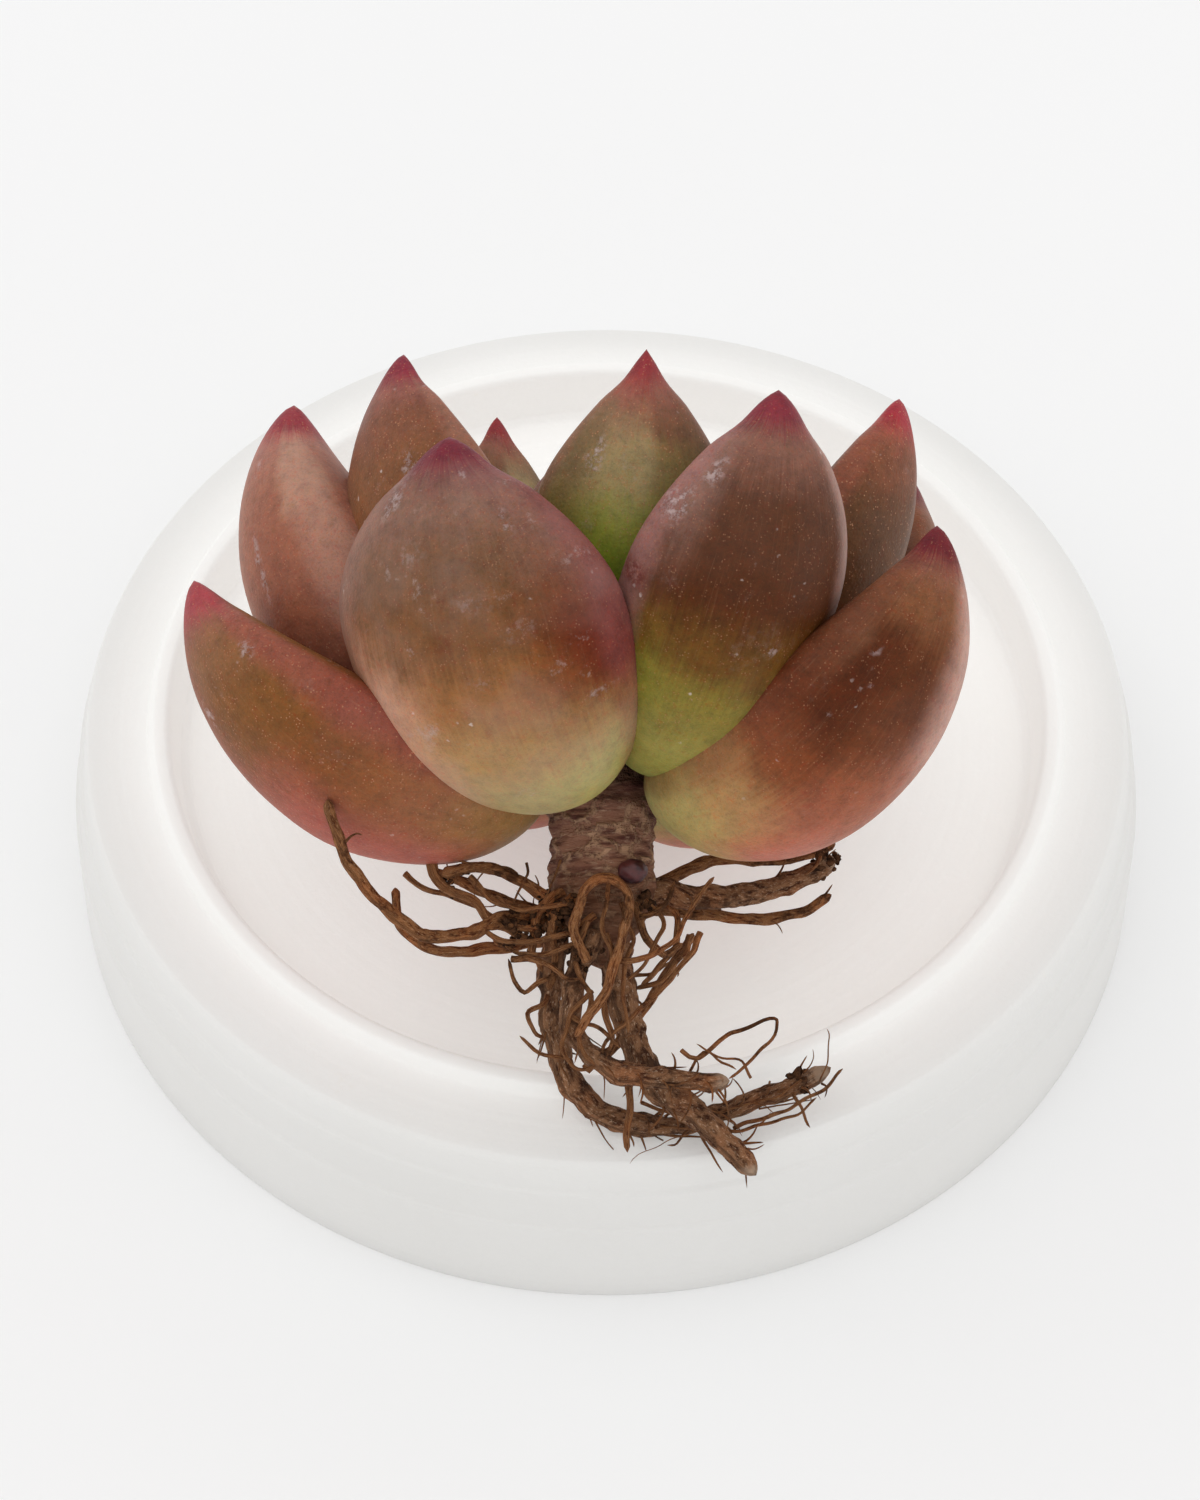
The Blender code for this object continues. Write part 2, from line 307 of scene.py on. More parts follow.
def noise_of(tree, vector, scale, detail=3.0, roughness=0.55, output="Fac"):
    return node(tree, "ShaderNodeTexNoise", {"Vector": vector, "Scale": scale, "Detail": detail,
                                            "Roughness": roughness}).outputs[output]


def shaken(tree, vector, scale, amount):
    """A place pushed a little to each side, by a push that changes from place to place."""
    cloud = noise_of(tree, vector, scale, 2.0, 0.5, "Color")
    centred = node(tree, "ShaderNodeVectorMath", {0: cloud, 1: (0.5, 0.5, 0.5)},
                   operation="SUBTRACT").outputs[0]
    push = node(tree, "ShaderNodeVectorMath", {0: centred, "Scale": amount},
                operation="SCALE").outputs[0]
    return node(tree, "ShaderNodeVectorMath", {0: vector, 1: push}, operation="ADD").outputs[0]


def stretched(tree, vector, scale):
    return node(tree, "ShaderNodeMapping", {"Vector": vector, "Scale": scale}).outputs[0]


def new_group(name, inputs, outputs):
    """An empty node group with its sockets. Inputs and outputs are (name, kind, value) rows."""
    group = bpy.data.node_groups.new(name, "ShaderNodeTree")
    kinds = {"value": "NodeSocketFloat", "colour": "NodeSocketColor", "vector": "NodeSocketVector"}
    for title, kind, value in inputs:
        socket = group.interface.new_socket(title, in_out="INPUT", socket_type=kinds[kind])
        if value is not None:
            socket.default_value = value
    for title, kind in outputs:
        group.interface.new_socket(title, in_out="OUTPUT", socket_type=kinds[kind])
    return group, group.nodes.new("NodeGroupInput").outputs


def give_out(group, **values):
    """Ends a node group: each named value goes to the group's output of that name."""
    out = group.nodes.new("NodeGroupOutput")
    for title, value in values.items():
        group.links.new(value, out.inputs[title])
    return group


def place_group(tree, group, inputs):
    return node(tree, "ShaderNodeGroup", inputs, node_tree=group).outputs


def blank_material(name, roughness, specular, **others):
    """A material with its shader's plain values. Other sockets are named with _ for a space."""
    material = bpy.data.materials.new(name)
    material.use_nodes = True
    shader = material.node_tree.nodes["Principled BSDF"]
    shader.inputs["Roughness"].default_value = roughness
    shader.inputs["Specular IOR Level"].default_value = specular
    for title, value in others.items():
        shader.inputs[title.replace("_", " ")].default_value = value
    return material, material.node_tree, shader


def join(tree, shader, colour, roughness, height, bump_depth):
    """Joins the colour, the roughness if there is one, and the height as a bump of that depth."""
    tree.links.new(colour, shader.inputs["Base Color"])
    if roughness is not None:
        tree.links.new(roughness, shader.inputs["Roughness"])
    bump = node(tree, "ShaderNodeBump", {"Height": height, "Distance": bump_depth, "Strength": 1.0})
    tree.links.new(bump.outputs[0], shader.inputs["Normal"])


# %% [markdown]
# ## The frosted lid
# The real lid is a turned shape in milky plastic: a flared skirt, a broad rim with a raised bead,
# and a shallow recess that the plant lies in. A lathe-like piece is easiest to spin from its
# profile. The profile is one line of edges that starts and ends on the upright axis. It is spun
# round that axis, merged where it meets itself, and its corners are softened by a bevel.

# %% Lid profile, from the part's own sizes
lid_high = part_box("frosted_lid")[1]
FOOT_RADIUS = lid_high.x / MM
LID_PROFILE = [(0, 16), (12, 16), (26, 16), (36, 16), (40, 16), (40.8, 16.5), (41.1, 18.8), (41.4, 21.2),
               (41.8, 21.6), (42.9, 21.6), (43.6, 20.3), (45.9, 20.15), (48.1, 20), (49.3, 19.7),
               (49.7, 19), (50.2, 16), (50.65, 15.8), (51.2, 11.2), (51.6, 11), (51.95, 5),
               (52.2, 0), (50.6, 0), (49.4, 9), (48.1, 17.4), (47.3, 18.4), (43.6, 18.4),
               (42.8, 15), (42.2, 14.4), (20, 14.4), (0, 14.4)]
LID_STEPS = 180
SOFT_CORNER = 0.35 * MM
SHARP_FROM = math.radians(18)


def spin_lid():
    lid = spin_outline("frosted_lid_turned", [(r * MM, 0, h * MM) for r, h in LID_PROFILE], LID_STEPS,
                       (0, 0, 0), (0, 0, 1))
    edge = lid.modifiers.new("soft corners", "BEVEL")
    edge.width = SOFT_CORNER
    edge.segments = 2
    edge.limit_method = "ANGLE"
    edge.angle_limit = SHARP_FROM
    bpy.ops.object.modifier_apply(modifier=edge.name)
    bpy.ops.object.shade_smooth()
    return lid


lid = spin_lid()
print("lid faces:", len(lid.data.polygons), "foot radius, mm:", round(FOOT_RADIUS, 1))

# %% [markdown]
# ## Milky plastic
# Polypropylene lids let light through without showing what is behind them. The finish is a pale
# body with some light scattered inside it, a rough transmission, faint turning rings in the
# surface and a little grime where water dried. A painted glow, a weak emission of the plastic's
# own, stands in for the daylight that comes through it: strongest in the thin recess that the
# plant shades, weaker at the rim and weakest on the outer wall.

# %% Frosted plastic
# painted light: the strength of the lid's own glow
LID_PAINTED_GLOW = 0.28


def frosted_plastic():
    material, tree, shader = blank_material(
        "frosted_plastic", 0.50, 0.28, Transmission_Weight=0.08, IOR=1.49, Emission_Strength=LID_PAINTED_GLOW,
        Subsurface_Weight=0.12, Subsurface_Scale=4 * MM, Subsurface_Radius=(1.0, 0.95, 0.9))
    place = object_place(tree)
    apart = node(tree, "ShaderNodeSeparateXYZ", {0: place}).outputs
    radius = calc(tree, "SQRT", plus(tree, times(tree, apart[0], apart[0]),
                                     times(tree, apart[1], apart[1])))
    rings = noise_of(tree, node(tree, "ShaderNodeCombineXYZ", {0: radius, 2: apart[2]}).outputs[0],
                     900.0, 2.0)
    cloud = noise_of(tree, place, 40.0, 4.0)
    grain = noise_of(tree, place, 2500.0, 2.0)
    body = lay_over(tree, cloud, paint(221, 220, 217), paint(228, 227, 225))
    dirt = soft_step(tree, noise_of(tree, place, 130.0, 6.0, 0.7), 0.67, 0.80)
    body = stain(tree, body, dirt, 0.35, (214, 205, 190))
    rough = plus(tree, times(tree, cloud, 0.16), 0.46)
    height = plus(tree, times(tree, rings, 0.7), times(tree, grain, 0.3))
    join(tree, shader, body, rough, height, 0.12 * MM)
    # painted light: the glow stands in for daylight seeping through, strongest in the thin recess, less at
    # the rim and least on the outer wall
    painted_glow_ramp = node(tree, "ShaderNodeValToRGB", {0: calc(tree, "DIVIDE", radius, FOOT_RADIUS * MM)})
    steps = painted_glow_ramp.color_ramp.elements
    steps[0].position = 0.74
    steps[0].color = (1.0, 0.99, 0.97, 1)
    steps[1].position = 0.975
    steps[1].color = (0.28, 0.275, 0.27, 1)
    rim_step = steps.new(0.88)
    rim_step.color = (0.66, 0.655, 0.645, 1)
    tree.links.new(painted_glow_ramp.outputs["Color"], shader.inputs["Emission Color"])
    return material


lid.data.materials.append(frosted_plastic())
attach(lid, "root")
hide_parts("frosted_lid")
print("lid finish:", lid.data.materials[0].name)

# %% [markdown]
# ## A fleshy leaf
# A leaf of this plant is a thick, cupped spoon: narrow where it leaves the stem, widest beyond the
# middle, rounded on its back and flatter inside, with a short hard point. It starts as a sphere
# whose rings are laid along a bent midrib. One function makes every leaf, so only the numbers
# change from one to the next. Each point also keeps where it is on the leaf, for the colours: how
# far along, how far across, and which side.

# %% Outline and thickness along a leaf
LEAF_AROUND, LEAF_RINGS = 80, 56
WIDEST, BASE_ROUND, TOP_ROUND = 0.56, 0.7, 0.9


def outline(t, widest=WIDEST, base_round=BASE_ROUND, top_round=TOP_ROUND):
    """Half width along the leaf, from 0 at the stem to 0 at the point."""
    if t < widest:
        return math.sin(math.pi / 2 * (t / widest) ** base_round)
    full = math.sin(math.pi / 2 * ((1 - t) / (1 - widest)) ** top_round)
    return full * (1 - 0.14 * math.sin(math.pi * ease(t, 0.86, 1.0)))


def fatness(t):
    return math.sin(math.pi * t ** 0.8) ** 0.7 if 0 < t < 1 else 0.0


def core_radius(height):
    s = clamp(height / CORE_LENGTH) ** 1.5
    return STEM_RADIUS + (STEM_TIP_RADIUS - STEM_RADIUS) * s


print("half width by tenths:", [round(outline(i / 10), 2) for i in range(11)])

# %% Bending a sphere into a leaf
def ripple(where, size, strength):
    return noise.noise(where / size) * strength


LEAF_GAP = 0.3
OUTER_SHARE, INNER_SHARE = 0.66, 0.34
CUP, KEEL = 0.10, 0.15


def shape_leaf(name, turn, height, reach, top, curl, width, thick, roll=0.0, widest=WIDEST,
               base_round=BASE_ROUND, top_round=TOP_ROUND, marks=(), inner=INNER_SHARE, detail=1.0):
    """A leaf of the plant. Angles are in degrees and lengths in mm; marks are rows like MARKS."""
    nothing_selected()
    bpy.ops.mesh.primitive_uv_sphere_add(segments=int(LEAF_AROUND * detail),
                                         ring_count=int(LEAF_RINGS * detail), radius=1.0)
    leaf = bpy.context.active_object
    leaf.name = name + "_flesh"
    leaf.data.name = leaf.name
    turn, curl, roll = math.radians(turn), math.radians(curl), math.radians(roll)
    start = core_radius(height) + LEAF_GAP
    chord = math.hypot(reach - start, top - height)
    rise = math.atan2(top - height, reach - start) - curl / 2
    bend_radius = chord / (2 * math.sin(curl / 2))
    seed = Vector((turn * 7.0, height * 3.0, reach))
    points, places, spots = [], [], []
    for vertex in leaf.data.vertices:
        x, y, z = vertex.co
        polar = math.acos(clamp(-z, -1, 1))
        t = 0.6 * polar / math.pi + 0.4 * (1 - math.cos(polar)) / 2
        around = math.atan2(y, x)
        side, outer = math.cos(around), math.sin(around)
        across = width / 2 * outline(t, widest, base_round, top_round) * side
        sharp = KEEL * t
        if outer > 0:
            back = OUTER_SHARE * thick * fatness(t) * ((1 - sharp) * outer + sharp * (1 - abs(side)))
        else:
            back = inner * thick * fatness(t) * outer
        back -= CUP * width / 2 * (across / (width / 2)) ** 2
        where = Vector((across, back, t * chord)) + seed
        swell = ripple(where, 9.0, 0.30) + ripple(where + Vector((7, 7, 7)), 3.5, 0.08)
        crust = scar = 0.0
        for along_at, across_at, long_size, wide_size, kind, depth in marks:
            away = ((t - along_at) / long_size) ** 2 + ((side - across_at) / wide_size) ** 2
            if outer > -0.1 and away < 9:
                touch = math.exp(-away)
                swell += depth * touch
                if kind == "crust":
                    crust = max(crust, touch)
                elif kind == "haze":
                    crust = max(crust, touch * 0.45)
                elif kind == "scar":
                    scar = max(scar, touch)
        back += swell * fatness(t) * (1 if outer > 0 else -0.5)
        across, back = (across * math.cos(roll) - back * math.sin(roll),
                        across * math.sin(roll) + back * math.cos(roll))
        angle = rise + curl * t
        out = start + bend_radius * (math.sin(angle) - math.sin(rise)) + back * math.sin(angle)
        up = bend_radius * (math.cos(rise) - math.cos(angle)) - back * math.cos(angle) + height
        px = across * math.cos(turn) + out * math.sin(turn)
        py = across * math.sin(turn) - out * math.cos(turn)
        points.append(in_plant(px, py, up))
        places.append((t, side, outer))
        spots.append((crust, scar, swell))
    for vertex, point in zip(leaf.data.vertices, points):
        vertex.co = point
    leaf.location = (0, 0, 0)
    for title, values in (("leaf_place", places), ("leaf_marks", spots)):
        held = leaf.data.attributes.new(title, "FLOAT_VECTOR", "POINT")
        held.data.foreach_set("vector", [v for row in values for v in row])
    leaf.data.update()
    close_up(leaf)
    return leaf


# %% [markdown]
# ## Leaf colours
# The skin of a leaf changes along its length: a pale yellow green base, a warm brown middle and a
# greyed mauve top, then a magenta point. A thin mauve line runs along its margins, and the side
# that bulges outwards blushes pink. Over that lie fine light grains, short streaks and smudges of
# wax. The groups below give the masks and the wax, and a colour ramp in each material gives the
# leaf its own run of colours.

# %% Group: where on the leaf
def group_leaf_places():
    group, given = new_group(
        "leaf_places",
        [("Wander", "value", 0.10), ("Streak", "value", 0.05), ("Margin Width", "value", 0.12),
         ("Point Length", "value", 0.07)],
        [("Along", "value"), ("Side", "value"), ("Margin", "value"), ("Point", "value")])
    place, apart = stored(group, "leaf_place")
    cloud = minus(group, noise_of(group, object_place(group), 170.0, 4.0, 0.6), 0.5)
    lines = minus(group, noise_of(group, stretched(group, place, (5.0, 34.0, 9.0)), 1.0, 4.0, 0.65),
                  0.5)
    moved = plus(group, apart[0], times(group, cloud, given["Wander"]))
    moved = plus(group, moved, times(group, lines, given["Streak"]))
    side = plus(group, apart[1], times(group, cloud, 0.25))
    edge = plus(group, calc(group, "ABSOLUTE", apart[1]), times(group, cloud, 0.10))
    margin = soft_step(group, edge, minus(group, 1.0, given["Margin Width"]), 1.0)
    tip_at = minus(group, 1.0, given["Point Length"])
    point = soft_step(group, plus(group, apart[0], times(group, lines, 0.10)),
                      minus(group, tip_at, 0.045), plus(group, tip_at, 0.025))
    return give_out(group, Along=moved, Side=side, Margin=margin, Point=point)


# %% Group: a patch of another tint
def group_leaf_patch():
    """A soft patch between two places along the leaf, growing from one place across it to another."""
    group, given = new_group(
        "leaf_patch",
        [("Along", "value", 0.5), ("Side", "value", 0.0), ("Start", "value", 0.2),
         ("End", "value", 0.6), ("Side From", "value", 0.0), ("Side To", "value", 1.0),
         ("Softness", "value", 0.10)],
        [("Mask", "value")])
    soft = given["Softness"]
    begin = soft_step(group, given["Along"], minus(group, given["Start"], soft),
                      plus(group, given["Start"], soft))
    stop = soft_step(group, given["Along"], plus(group, given["End"], soft),
                     minus(group, given["End"], soft))
    across = soft_step(group, given["Side"], given["Side From"], given["Side To"])
    return give_out(group, Mask=times(group, times(group, begin, stop), across))


# %% Group: wax, grains and marks
def group_waxy_skin():
    group, given = new_group(
        "waxy_skin",
        [("Color", "colour", None), ("Wax", "value", 0.5), ("Grain", "value", 0.5),
         ("Wax Color", "colour", paint(192, 170, 164))],
        [("Color", "colour"), ("Roughness", "value"), ("Height", "value")])
    spot = object_place(group)
    place = stored(group, "leaf_place")[0]
    kinds = stored(group, "leaf_marks")[1]
    # mottling: slow patches of deeper and lighter skin
    mottle = noise_of(group, spot, 620.0, 6.0, 0.74)
    colour = lay_over(group, soft_step(group, mottle, 0.38, 0.72), given["Color"],
                      lay_over(group, 0.35, given["Color"], paint(255, 240, 225), "SOFT_LIGHT"))
    dark = soft_step(group, mottle, 0.50, 0.26)
    colour = stain(group, colour, dark, 0.24, (150, 120, 105), "MULTIPLY")
    # fine flecks, red in one place and green in the next, and finer sand, light and dark
    fleck = noise_of(group, spot, 1500.0, 5.0, 0.8)
    sand = noise_of(group, spot, 3800.0, 3.0, 0.8)
    for cloud, low, high, strength, tint, mode in (
            (fleck, 0.52, 0.66, 0.34, (196, 126, 122), "OVERLAY"),
            (fleck, 0.48, 0.34, 0.26, (132, 150, 96), "OVERLAY"),
            (sand, 0.50, 0.64, 0.85, (190, 172, 158), "OVERLAY"),
            (sand, 0.50, 0.36, 0.20, (120, 96, 84), "MULTIPLY")):
        colour = stain(group, colour, soft_step(group, cloud, low, high), strength, tint, mode)
    # fine light grains, the tiny waxy beads of the skin
    bead = node(group, "ShaderNodeTexVoronoi", {"Vector": spot, "Scale": 3600.0,
                                                "Randomness": 1.0}).outputs["Distance"]
    grains = times(group, soft_step(group, bead, 0.34, 0.08),
                   soft_step(group, noise_of(group, spot, 1500.0, 2.0), 0.46, 0.62))
    colour = stain(group, colour, grains, given["Grain"], (190, 140, 104))
    # streaks along the leaf
    lines = noise_of(group, stretched(group, place, (9.0, 70.0, 20.0)), 1.0, 4.0, 0.7)
    colour = stain(group, colour, soft_step(group, lines, 0.55, 0.75), 0.10, (196, 150, 116))
    # smudges of wax, with ragged edges
    smear = times(group, soft_step(group, noise_of(group, spot, 240.0, 7.0, 0.78), 0.56, 0.72),
                  given["Wax"])
    haze = times(group, soft_step(group, noise_of(group, spot, 75.0, 3.0), 0.42, 0.70),
                 times(group, given["Wax"], 0.20))
    wax = calc(group, "MAXIMUM", times(group, smear, 0.60), haze)
    colour = lay_over(group, wax, colour, given["Wax Color"])
    # specks of white dust
    dust_cell = node(group, "ShaderNodeTexVoronoi", {"Vector": shaken(group, spot, 2600.0, 0.0005),
                                                     "Scale": 900.0}).outputs["Distance"]
    dust = times(group, soft_step(group, dust_cell, 0.20, 0.08),
                 soft_step(group, noise_of(group, spot, 230.0, 3.0), 0.58, 0.70))
    colour = stain(group, colour, dust, 0.60, (222, 206, 200))
    # the marks that are stored on the leaf: pale crust and dark red scars
    ragged = noise_of(group, spot, 1300.0, 5.0, 0.75)
    crusted = plus(group, kinds[0], times(group, ragged, 0.5))
    crust = times(group, soft_step(group, ragged, 0.46, 0.60), soft_step(group, crusted, 0.45, 1.1))
    colour = stain(group, colour, crust, 0.55, (204, 182, 180))
    scar = times(group, soft_step(group, ragged, 0.36, 0.56), soft_step(group, kinds[1], 0.15, 0.85))
    colour = stain(group, colour, scar, 0.70, (98, 34, 26))
    rough = calc(group, "ADD", times(group, wax, 0.45), 0.44, True)
    rough = calc(group, "ADD", rough, times(group, dust, 0.2), True)
    height = plus(group, times(group, bead, -0.5), times(group, wax, 0.5))
    height = plus(group, height, times(group, mottle, 0.9))
    height = plus(group, height, times(group, crust, 0.9))
    return give_out(group, Color=colour, Roughness=rough, Height=height)


LEAF_PLACES = group_leaf_places()
LEAF_PATCH = group_leaf_patch()
WAXY_SKIN = group_waxy_skin()
print("groups:", LEAF_PLACES.name, WAXY_SKIN.name)

# %% A leaf's own material
def leaf_skin(name, stops, margin, point, patches=(), wax=0.3, grain=0.5, margin_strength=0.6,
              wander=0.12, streak=0.10, point_length=0.07):
    """stops are (place along the leaf, screen colour) from the stem to the point; patches are
    (screen colour, strength, start and end along the leaf, from and to across it)."""
    material, tree, shader = blank_material("skin_" + name, 0.5, 0.11, Subsurface_Weight=0.08,
                                            Subsurface_Scale=1.2 * MM)
    masks = place_group(tree, LEAF_PLACES, {"Wander": wander, "Streak": streak,
                                            "Point Length": point_length})
    ramp = node(tree, "ShaderNodeValToRGB", {0: masks["Along"]})
    ramp.color_ramp.interpolation = "EASE"
    elements = ramp.color_ramp.elements
    while len(elements) < len(stops):
        elements.new(0.5)
    for element, (at, colour) in zip(elements, stops):
        element.position = at
    for element, (at, colour) in zip(elements, stops):
        element.color = paint(*colour)
    colour = ramp.outputs["Color"]
    for tint, strength, start, end, side_from, side_to in patches:
        patch = place_group(tree, LEAF_PATCH, {
            "Along": masks["Along"], "Side": masks["Side"], "Start": start, "End": end,
            "Side From": side_from, "Side To": side_to})
        colour = stain(tree, colour, patch["Mask"], strength, tint)
    colour = stain(tree, colour, masks["Margin"], margin_strength, margin)
    colour = stain(tree, colour, masks["Point"], 0.92, point)
    bare = minus(tree, 1.0, times(tree, masks["Point"], 0.8))
    skin = place_group(tree, WAXY_SKIN, {"Color": colour, "Wax": times(tree, bare, wax),
                                         "Grain": grain})
    join(tree, shader, skin["Color"], skin["Roughness"], skin["Height"], 0.05 * MM)
    return material


# %% [markdown]
# ## The leaves
# Each row says how one leaf stands: the turn round the stem (0 faces the viewer, plus is to the
# right), the height where it starts, how far and how high its point reaches, how much it curls,
# its width and its thickness. Some rows add how far the leaf rolls on its midrib, where it is
# widest, and how round its foot and its top are. The hidden leaves keep the numbers of the solid
# part. The leaves seen from the front started from those too and were then adjusted a little, so
# each stands a millimetre or two off its solid leaf.

# %% Leaf rows
LEAVES = [
    ("outer_leaf_front", -29, 0.6, 25.4, 25.6, 78, 26.1, 13.3, 2, 0.57, 0.59, 0.87),
    ("outer_leaf_right", 58, 0.0, 32.1, 19.5, 84, 20.8, 13.6, -2, 0.54, 0.58, 0.95),
    ("outer_leaf_left", -75, -0.5, 35.5, 16.2, 67, 24.4, 12.6, 0, 0.53, 0.62, 0.88),
    ("middle_leaf_front_right", 29, 2.8, 28.7, 28.8, 64, 19.2, 11.7, 1, 0.57, 0.69, 0.85),
    ("inner_leaf_front_left", -61, 6.0, 19.3, 35.6, 63, 22.7, 9.4, -3, 0.54, 0.70, 0.94),
    ("middle_leaf_left", -89, 4.5, 27.0, 33.3, 83, 20.0, 13.2, 0, 0.55, 0.70, 0.89),
    ("inner_leaf_front", 9, 7.5, 22.2, 32.9, 37, 16.5, 7.5, 2, 0.54, 0.70, 1.05),
    ("middle_leaf_right", 75, 4.5, 26.1, 32.5, 50, 18.2, 9.3, 3, 0.58, 0.70, 0.80),
    ("outer_leaf_back_right", 110, 2.0, 29.0, 29.7, 70, 22.0, 11.0),
    ("outer_leaf_under_right", 150, 1.8, 35.5, 17.0, 70, 20.0, 10.0),
    ("outer_leaf_under_left", -150, 3.5, 36.4, 19.0, 70, 21.0, 10.0),
    ("middle_leaf_back", -175, 4.0, 26.0, 30.0, 55, 18.0, 9.0),
    ("middle_leaf_back_right", 135, 6.0, 22.0, 31.0, 50, 15.0, 8.0),
    ("middle_leaf_back_left", -118, 5.0, 25.0, 31.0, 55, 17.0, 9.0),
    ("inner_leaf_back", 172, 8.0, 17.0, 32.0, 40, 14.0, 7.0),
    ("inner_leaf_back_left", -140, 8.0, 15.1, 35.1, 35, 12.0, 6.0),
    ("inner_leaf_right", 95, 10.0, 14.0, 30.0, 30, 10.0, 5.0),
    ("heart_leaf_front", -25, 11.5, 9.0, 27.0, 30, 9.0, 4.5),
    ("heart_leaf_back_left", -155, 12.0, 8.5, 26.0, 30, 8.5, 4.2),
    ("heart_leaf_back_right", 125, 12.5, 8.0, 25.0, 30, 8.0, 4.0),
    ("heart_leaf_right", 50, 13.0, 6.0, 24.0, 20, 6.5, 3.5),
]

# Marks left by handling and growth: along and across the leaf, length and width of the spot as
# shares of the leaf, what it is, and how far it stands out in mm. A haze is a faint crust, and a
# dent only changes the shape.
MARKS = {
    "outer_leaf_front": [(0.60, 0.12, 0.035, 0.05, "scar", -0.05), (0.47, -0.42, 0.018, 0.03, "scar", 0.0),
                         (0.67, 0.14, 0.020, 0.03, "scar", 0.0), (0.86, -0.45, 0.035, 0.14, "crust", 0.10),
                         (0.87, 0.22, 0.018, 0.05, "dent", -0.12), (0.90, 0.55, 0.016, 0.05, "crust", 0.05),
                         (0.80, 0.72, 0.03, 0.04, "crust", 0.05), (0.66, 0.34, 0.030, 0.20, "haze", 0.0),
                         (0.60, 0.58, 0.028, 0.16, "haze", 0.0), (0.76, -0.08, 0.040, 0.20, "haze", 0.0),
                         (0.52, 0.30, 0.020, 0.14, "haze", 0.0)],
    "middle_leaf_front_right": [(0.74, -0.94, 0.045, 0.07, "crust", -0.30),
                                (0.82, -0.84, 0.03, 0.08, "crust", -0.25),
                                (0.57, -0.98, 0.03, 0.05, "scar", -0.25),
                                (0.52, 0.10, 0.012, 0.05, "crust", 0.05),
                                (0.13, 0.0, 0.006, 0.03, "scar", 0.0)],
    "outer_leaf_right": [(0.72, -0.84, 0.012, 0.03, "crust", 0.08),
                         (0.66, -0.76, 0.010, 0.02, "crust", 0.05),
                         (0.56, -0.84, 0.010, 0.02, "crust", 0.04),
                         (0.76, -0.66, 0.006, 0.02, "crust", 0.05), (0.22, 0.05, 0.010, 0.03, "scar", 0.0)],
    "outer_leaf_left": [(0.75, 0.12, 0.03, 0.08, "crust", 0.06), (0.30, 0.45, 0.008, 0.02, "scar", 0.0),
                        (0.12, 0.20, 0.010, 0.03, "scar", 0.0), (0.80, 0.93, 0.02, 0.05, "crust", 0.05)],
    "middle_leaf_left": [(0.66, 0.58, 0.07, 0.05, "crust", 0.04), (0.85, 0.62, 0.02, 0.06, "crust", 0.05)],
    "inner_leaf_front_left": [(0.82, 0.55, 0.02, 0.05, "dent", -0.10),
                              (0.70, 0.60, 0.05, 0.10, "crust", 0.03)],
    "inner_leaf_front": [(0.93, 0.0, 0.08, 0.06, "dent", -0.35), (0.74, -0.62, 0.05, 0.12, "crust", 0.04)],
    "middle_leaf_right": [(0.84, -0.55, 0.02, 0.08, "dent", -0.10)],
}


# %% Colour runs
FRONT = dict(
    stops=[(0.0, (168, 156, 104)), (0.22, (166, 150, 92)), (0.36, (166, 130, 76)), (0.49, (146, 98, 54)),
           (0.60, (116, 74, 36)), (0.74, (118, 84, 62)), (0.84, (132, 98, 84)), (0.93, (118, 66, 64))],
    margin=(134, 72, 72), point=(112, 26, 48), wax=0.95, grain=0.36, point_length=0.062,
    # the second patch, dark red brown on the right side, is painted shade over the leaf's own redder skin
    patches=[((206, 158, 134), 0.85, 0.18, 0.56, 0.10, -0.55), ((96, 28, 10), 0.90, 0.38, 0.66, 0.45, 0.95),
             ((172, 168, 94), 0.7, 0.0, 0.30, 0.1, 0.7), ((148, 110, 98), 0.8, 0.52, 0.90, -0.35, -0.95),
             ((134, 84, 80), 0.5, 0.66, 0.92, 0.55, 1.0)])
FRONT_RIGHT = dict(
    stops=[(0.0, (136, 144, 78)), (0.24, (150, 144, 72)), (0.36, (132, 120, 50)), (0.48, (104, 70, 26)),
           (0.60, (80, 40, 12)), (0.76, (84, 46, 22)), (0.90, (130, 88, 74))],
    margin=(152, 108, 104), point=(128, 40, 58), wax=0.18, grain=0.40, margin_strength=0.85,
    patches=[((118, 128, 44), 0.5, 0.26, 0.46, -0.45, -0.95), ((110, 122, 40), 0.6, 0.20, 0.42, 0.4, 0.95),
             ((146, 110, 100), 0.75, 0.66, 0.90, -0.62, -0.92),
             ((180, 144, 134), 0.9, 0.50, 0.95, 0.58, 0.92)])
RIGHT = dict(
    stops=[(0.0, (168, 162, 106)), (0.18, (172, 156, 98)), (0.30, (168, 128, 82)), (0.44, (126, 68, 36)),
           (0.58, (98, 50, 22)), (0.72, (92, 48, 22)), (0.84, (126, 80, 52)), (0.93, (140, 90, 72))],
    margin=(112, 58, 34), point=(104, 24, 40), wax=0.16, grain=0.40, margin_strength=0.5,
    patches=[((184, 100, 84), 0.9, 0.18, 0.46, -0.85, -0.15),
             ((200, 158, 146), 0.85, 0.50, 0.93, -0.32, 0.12),
             ((192, 132, 118), 0.7, 0.26, 0.56, -0.42, 0.05),
             ((152, 92, 66), 0.7, 0.36, 0.56, -0.75, -0.35),
             ((70, 26, 6), 0.6, 0.50, 0.74, -0.55, -0.85), ((120, 82, 60), 0.6, 0.62, 0.86, -0.90, -1.0)])
LEFT = dict(
    stops=[(0.0, (150, 120, 74)), (0.16, (146, 108, 68)), (0.34, (140, 86, 52)), (0.52, (126, 74, 36)),
           (0.70, (124, 80, 40)), (0.84, (134, 92, 60)), (0.93, (146, 92, 78))],
    margin=(152, 80, 76), point=(164, 68, 78), wax=0.22, grain=0.75,
    patches=[((170, 90, 78), 0.9, 0.16, 0.58, 0.75, 0.25), ((150, 82, 68), 0.7, 0.45, 0.92, 0.40, -0.30)])
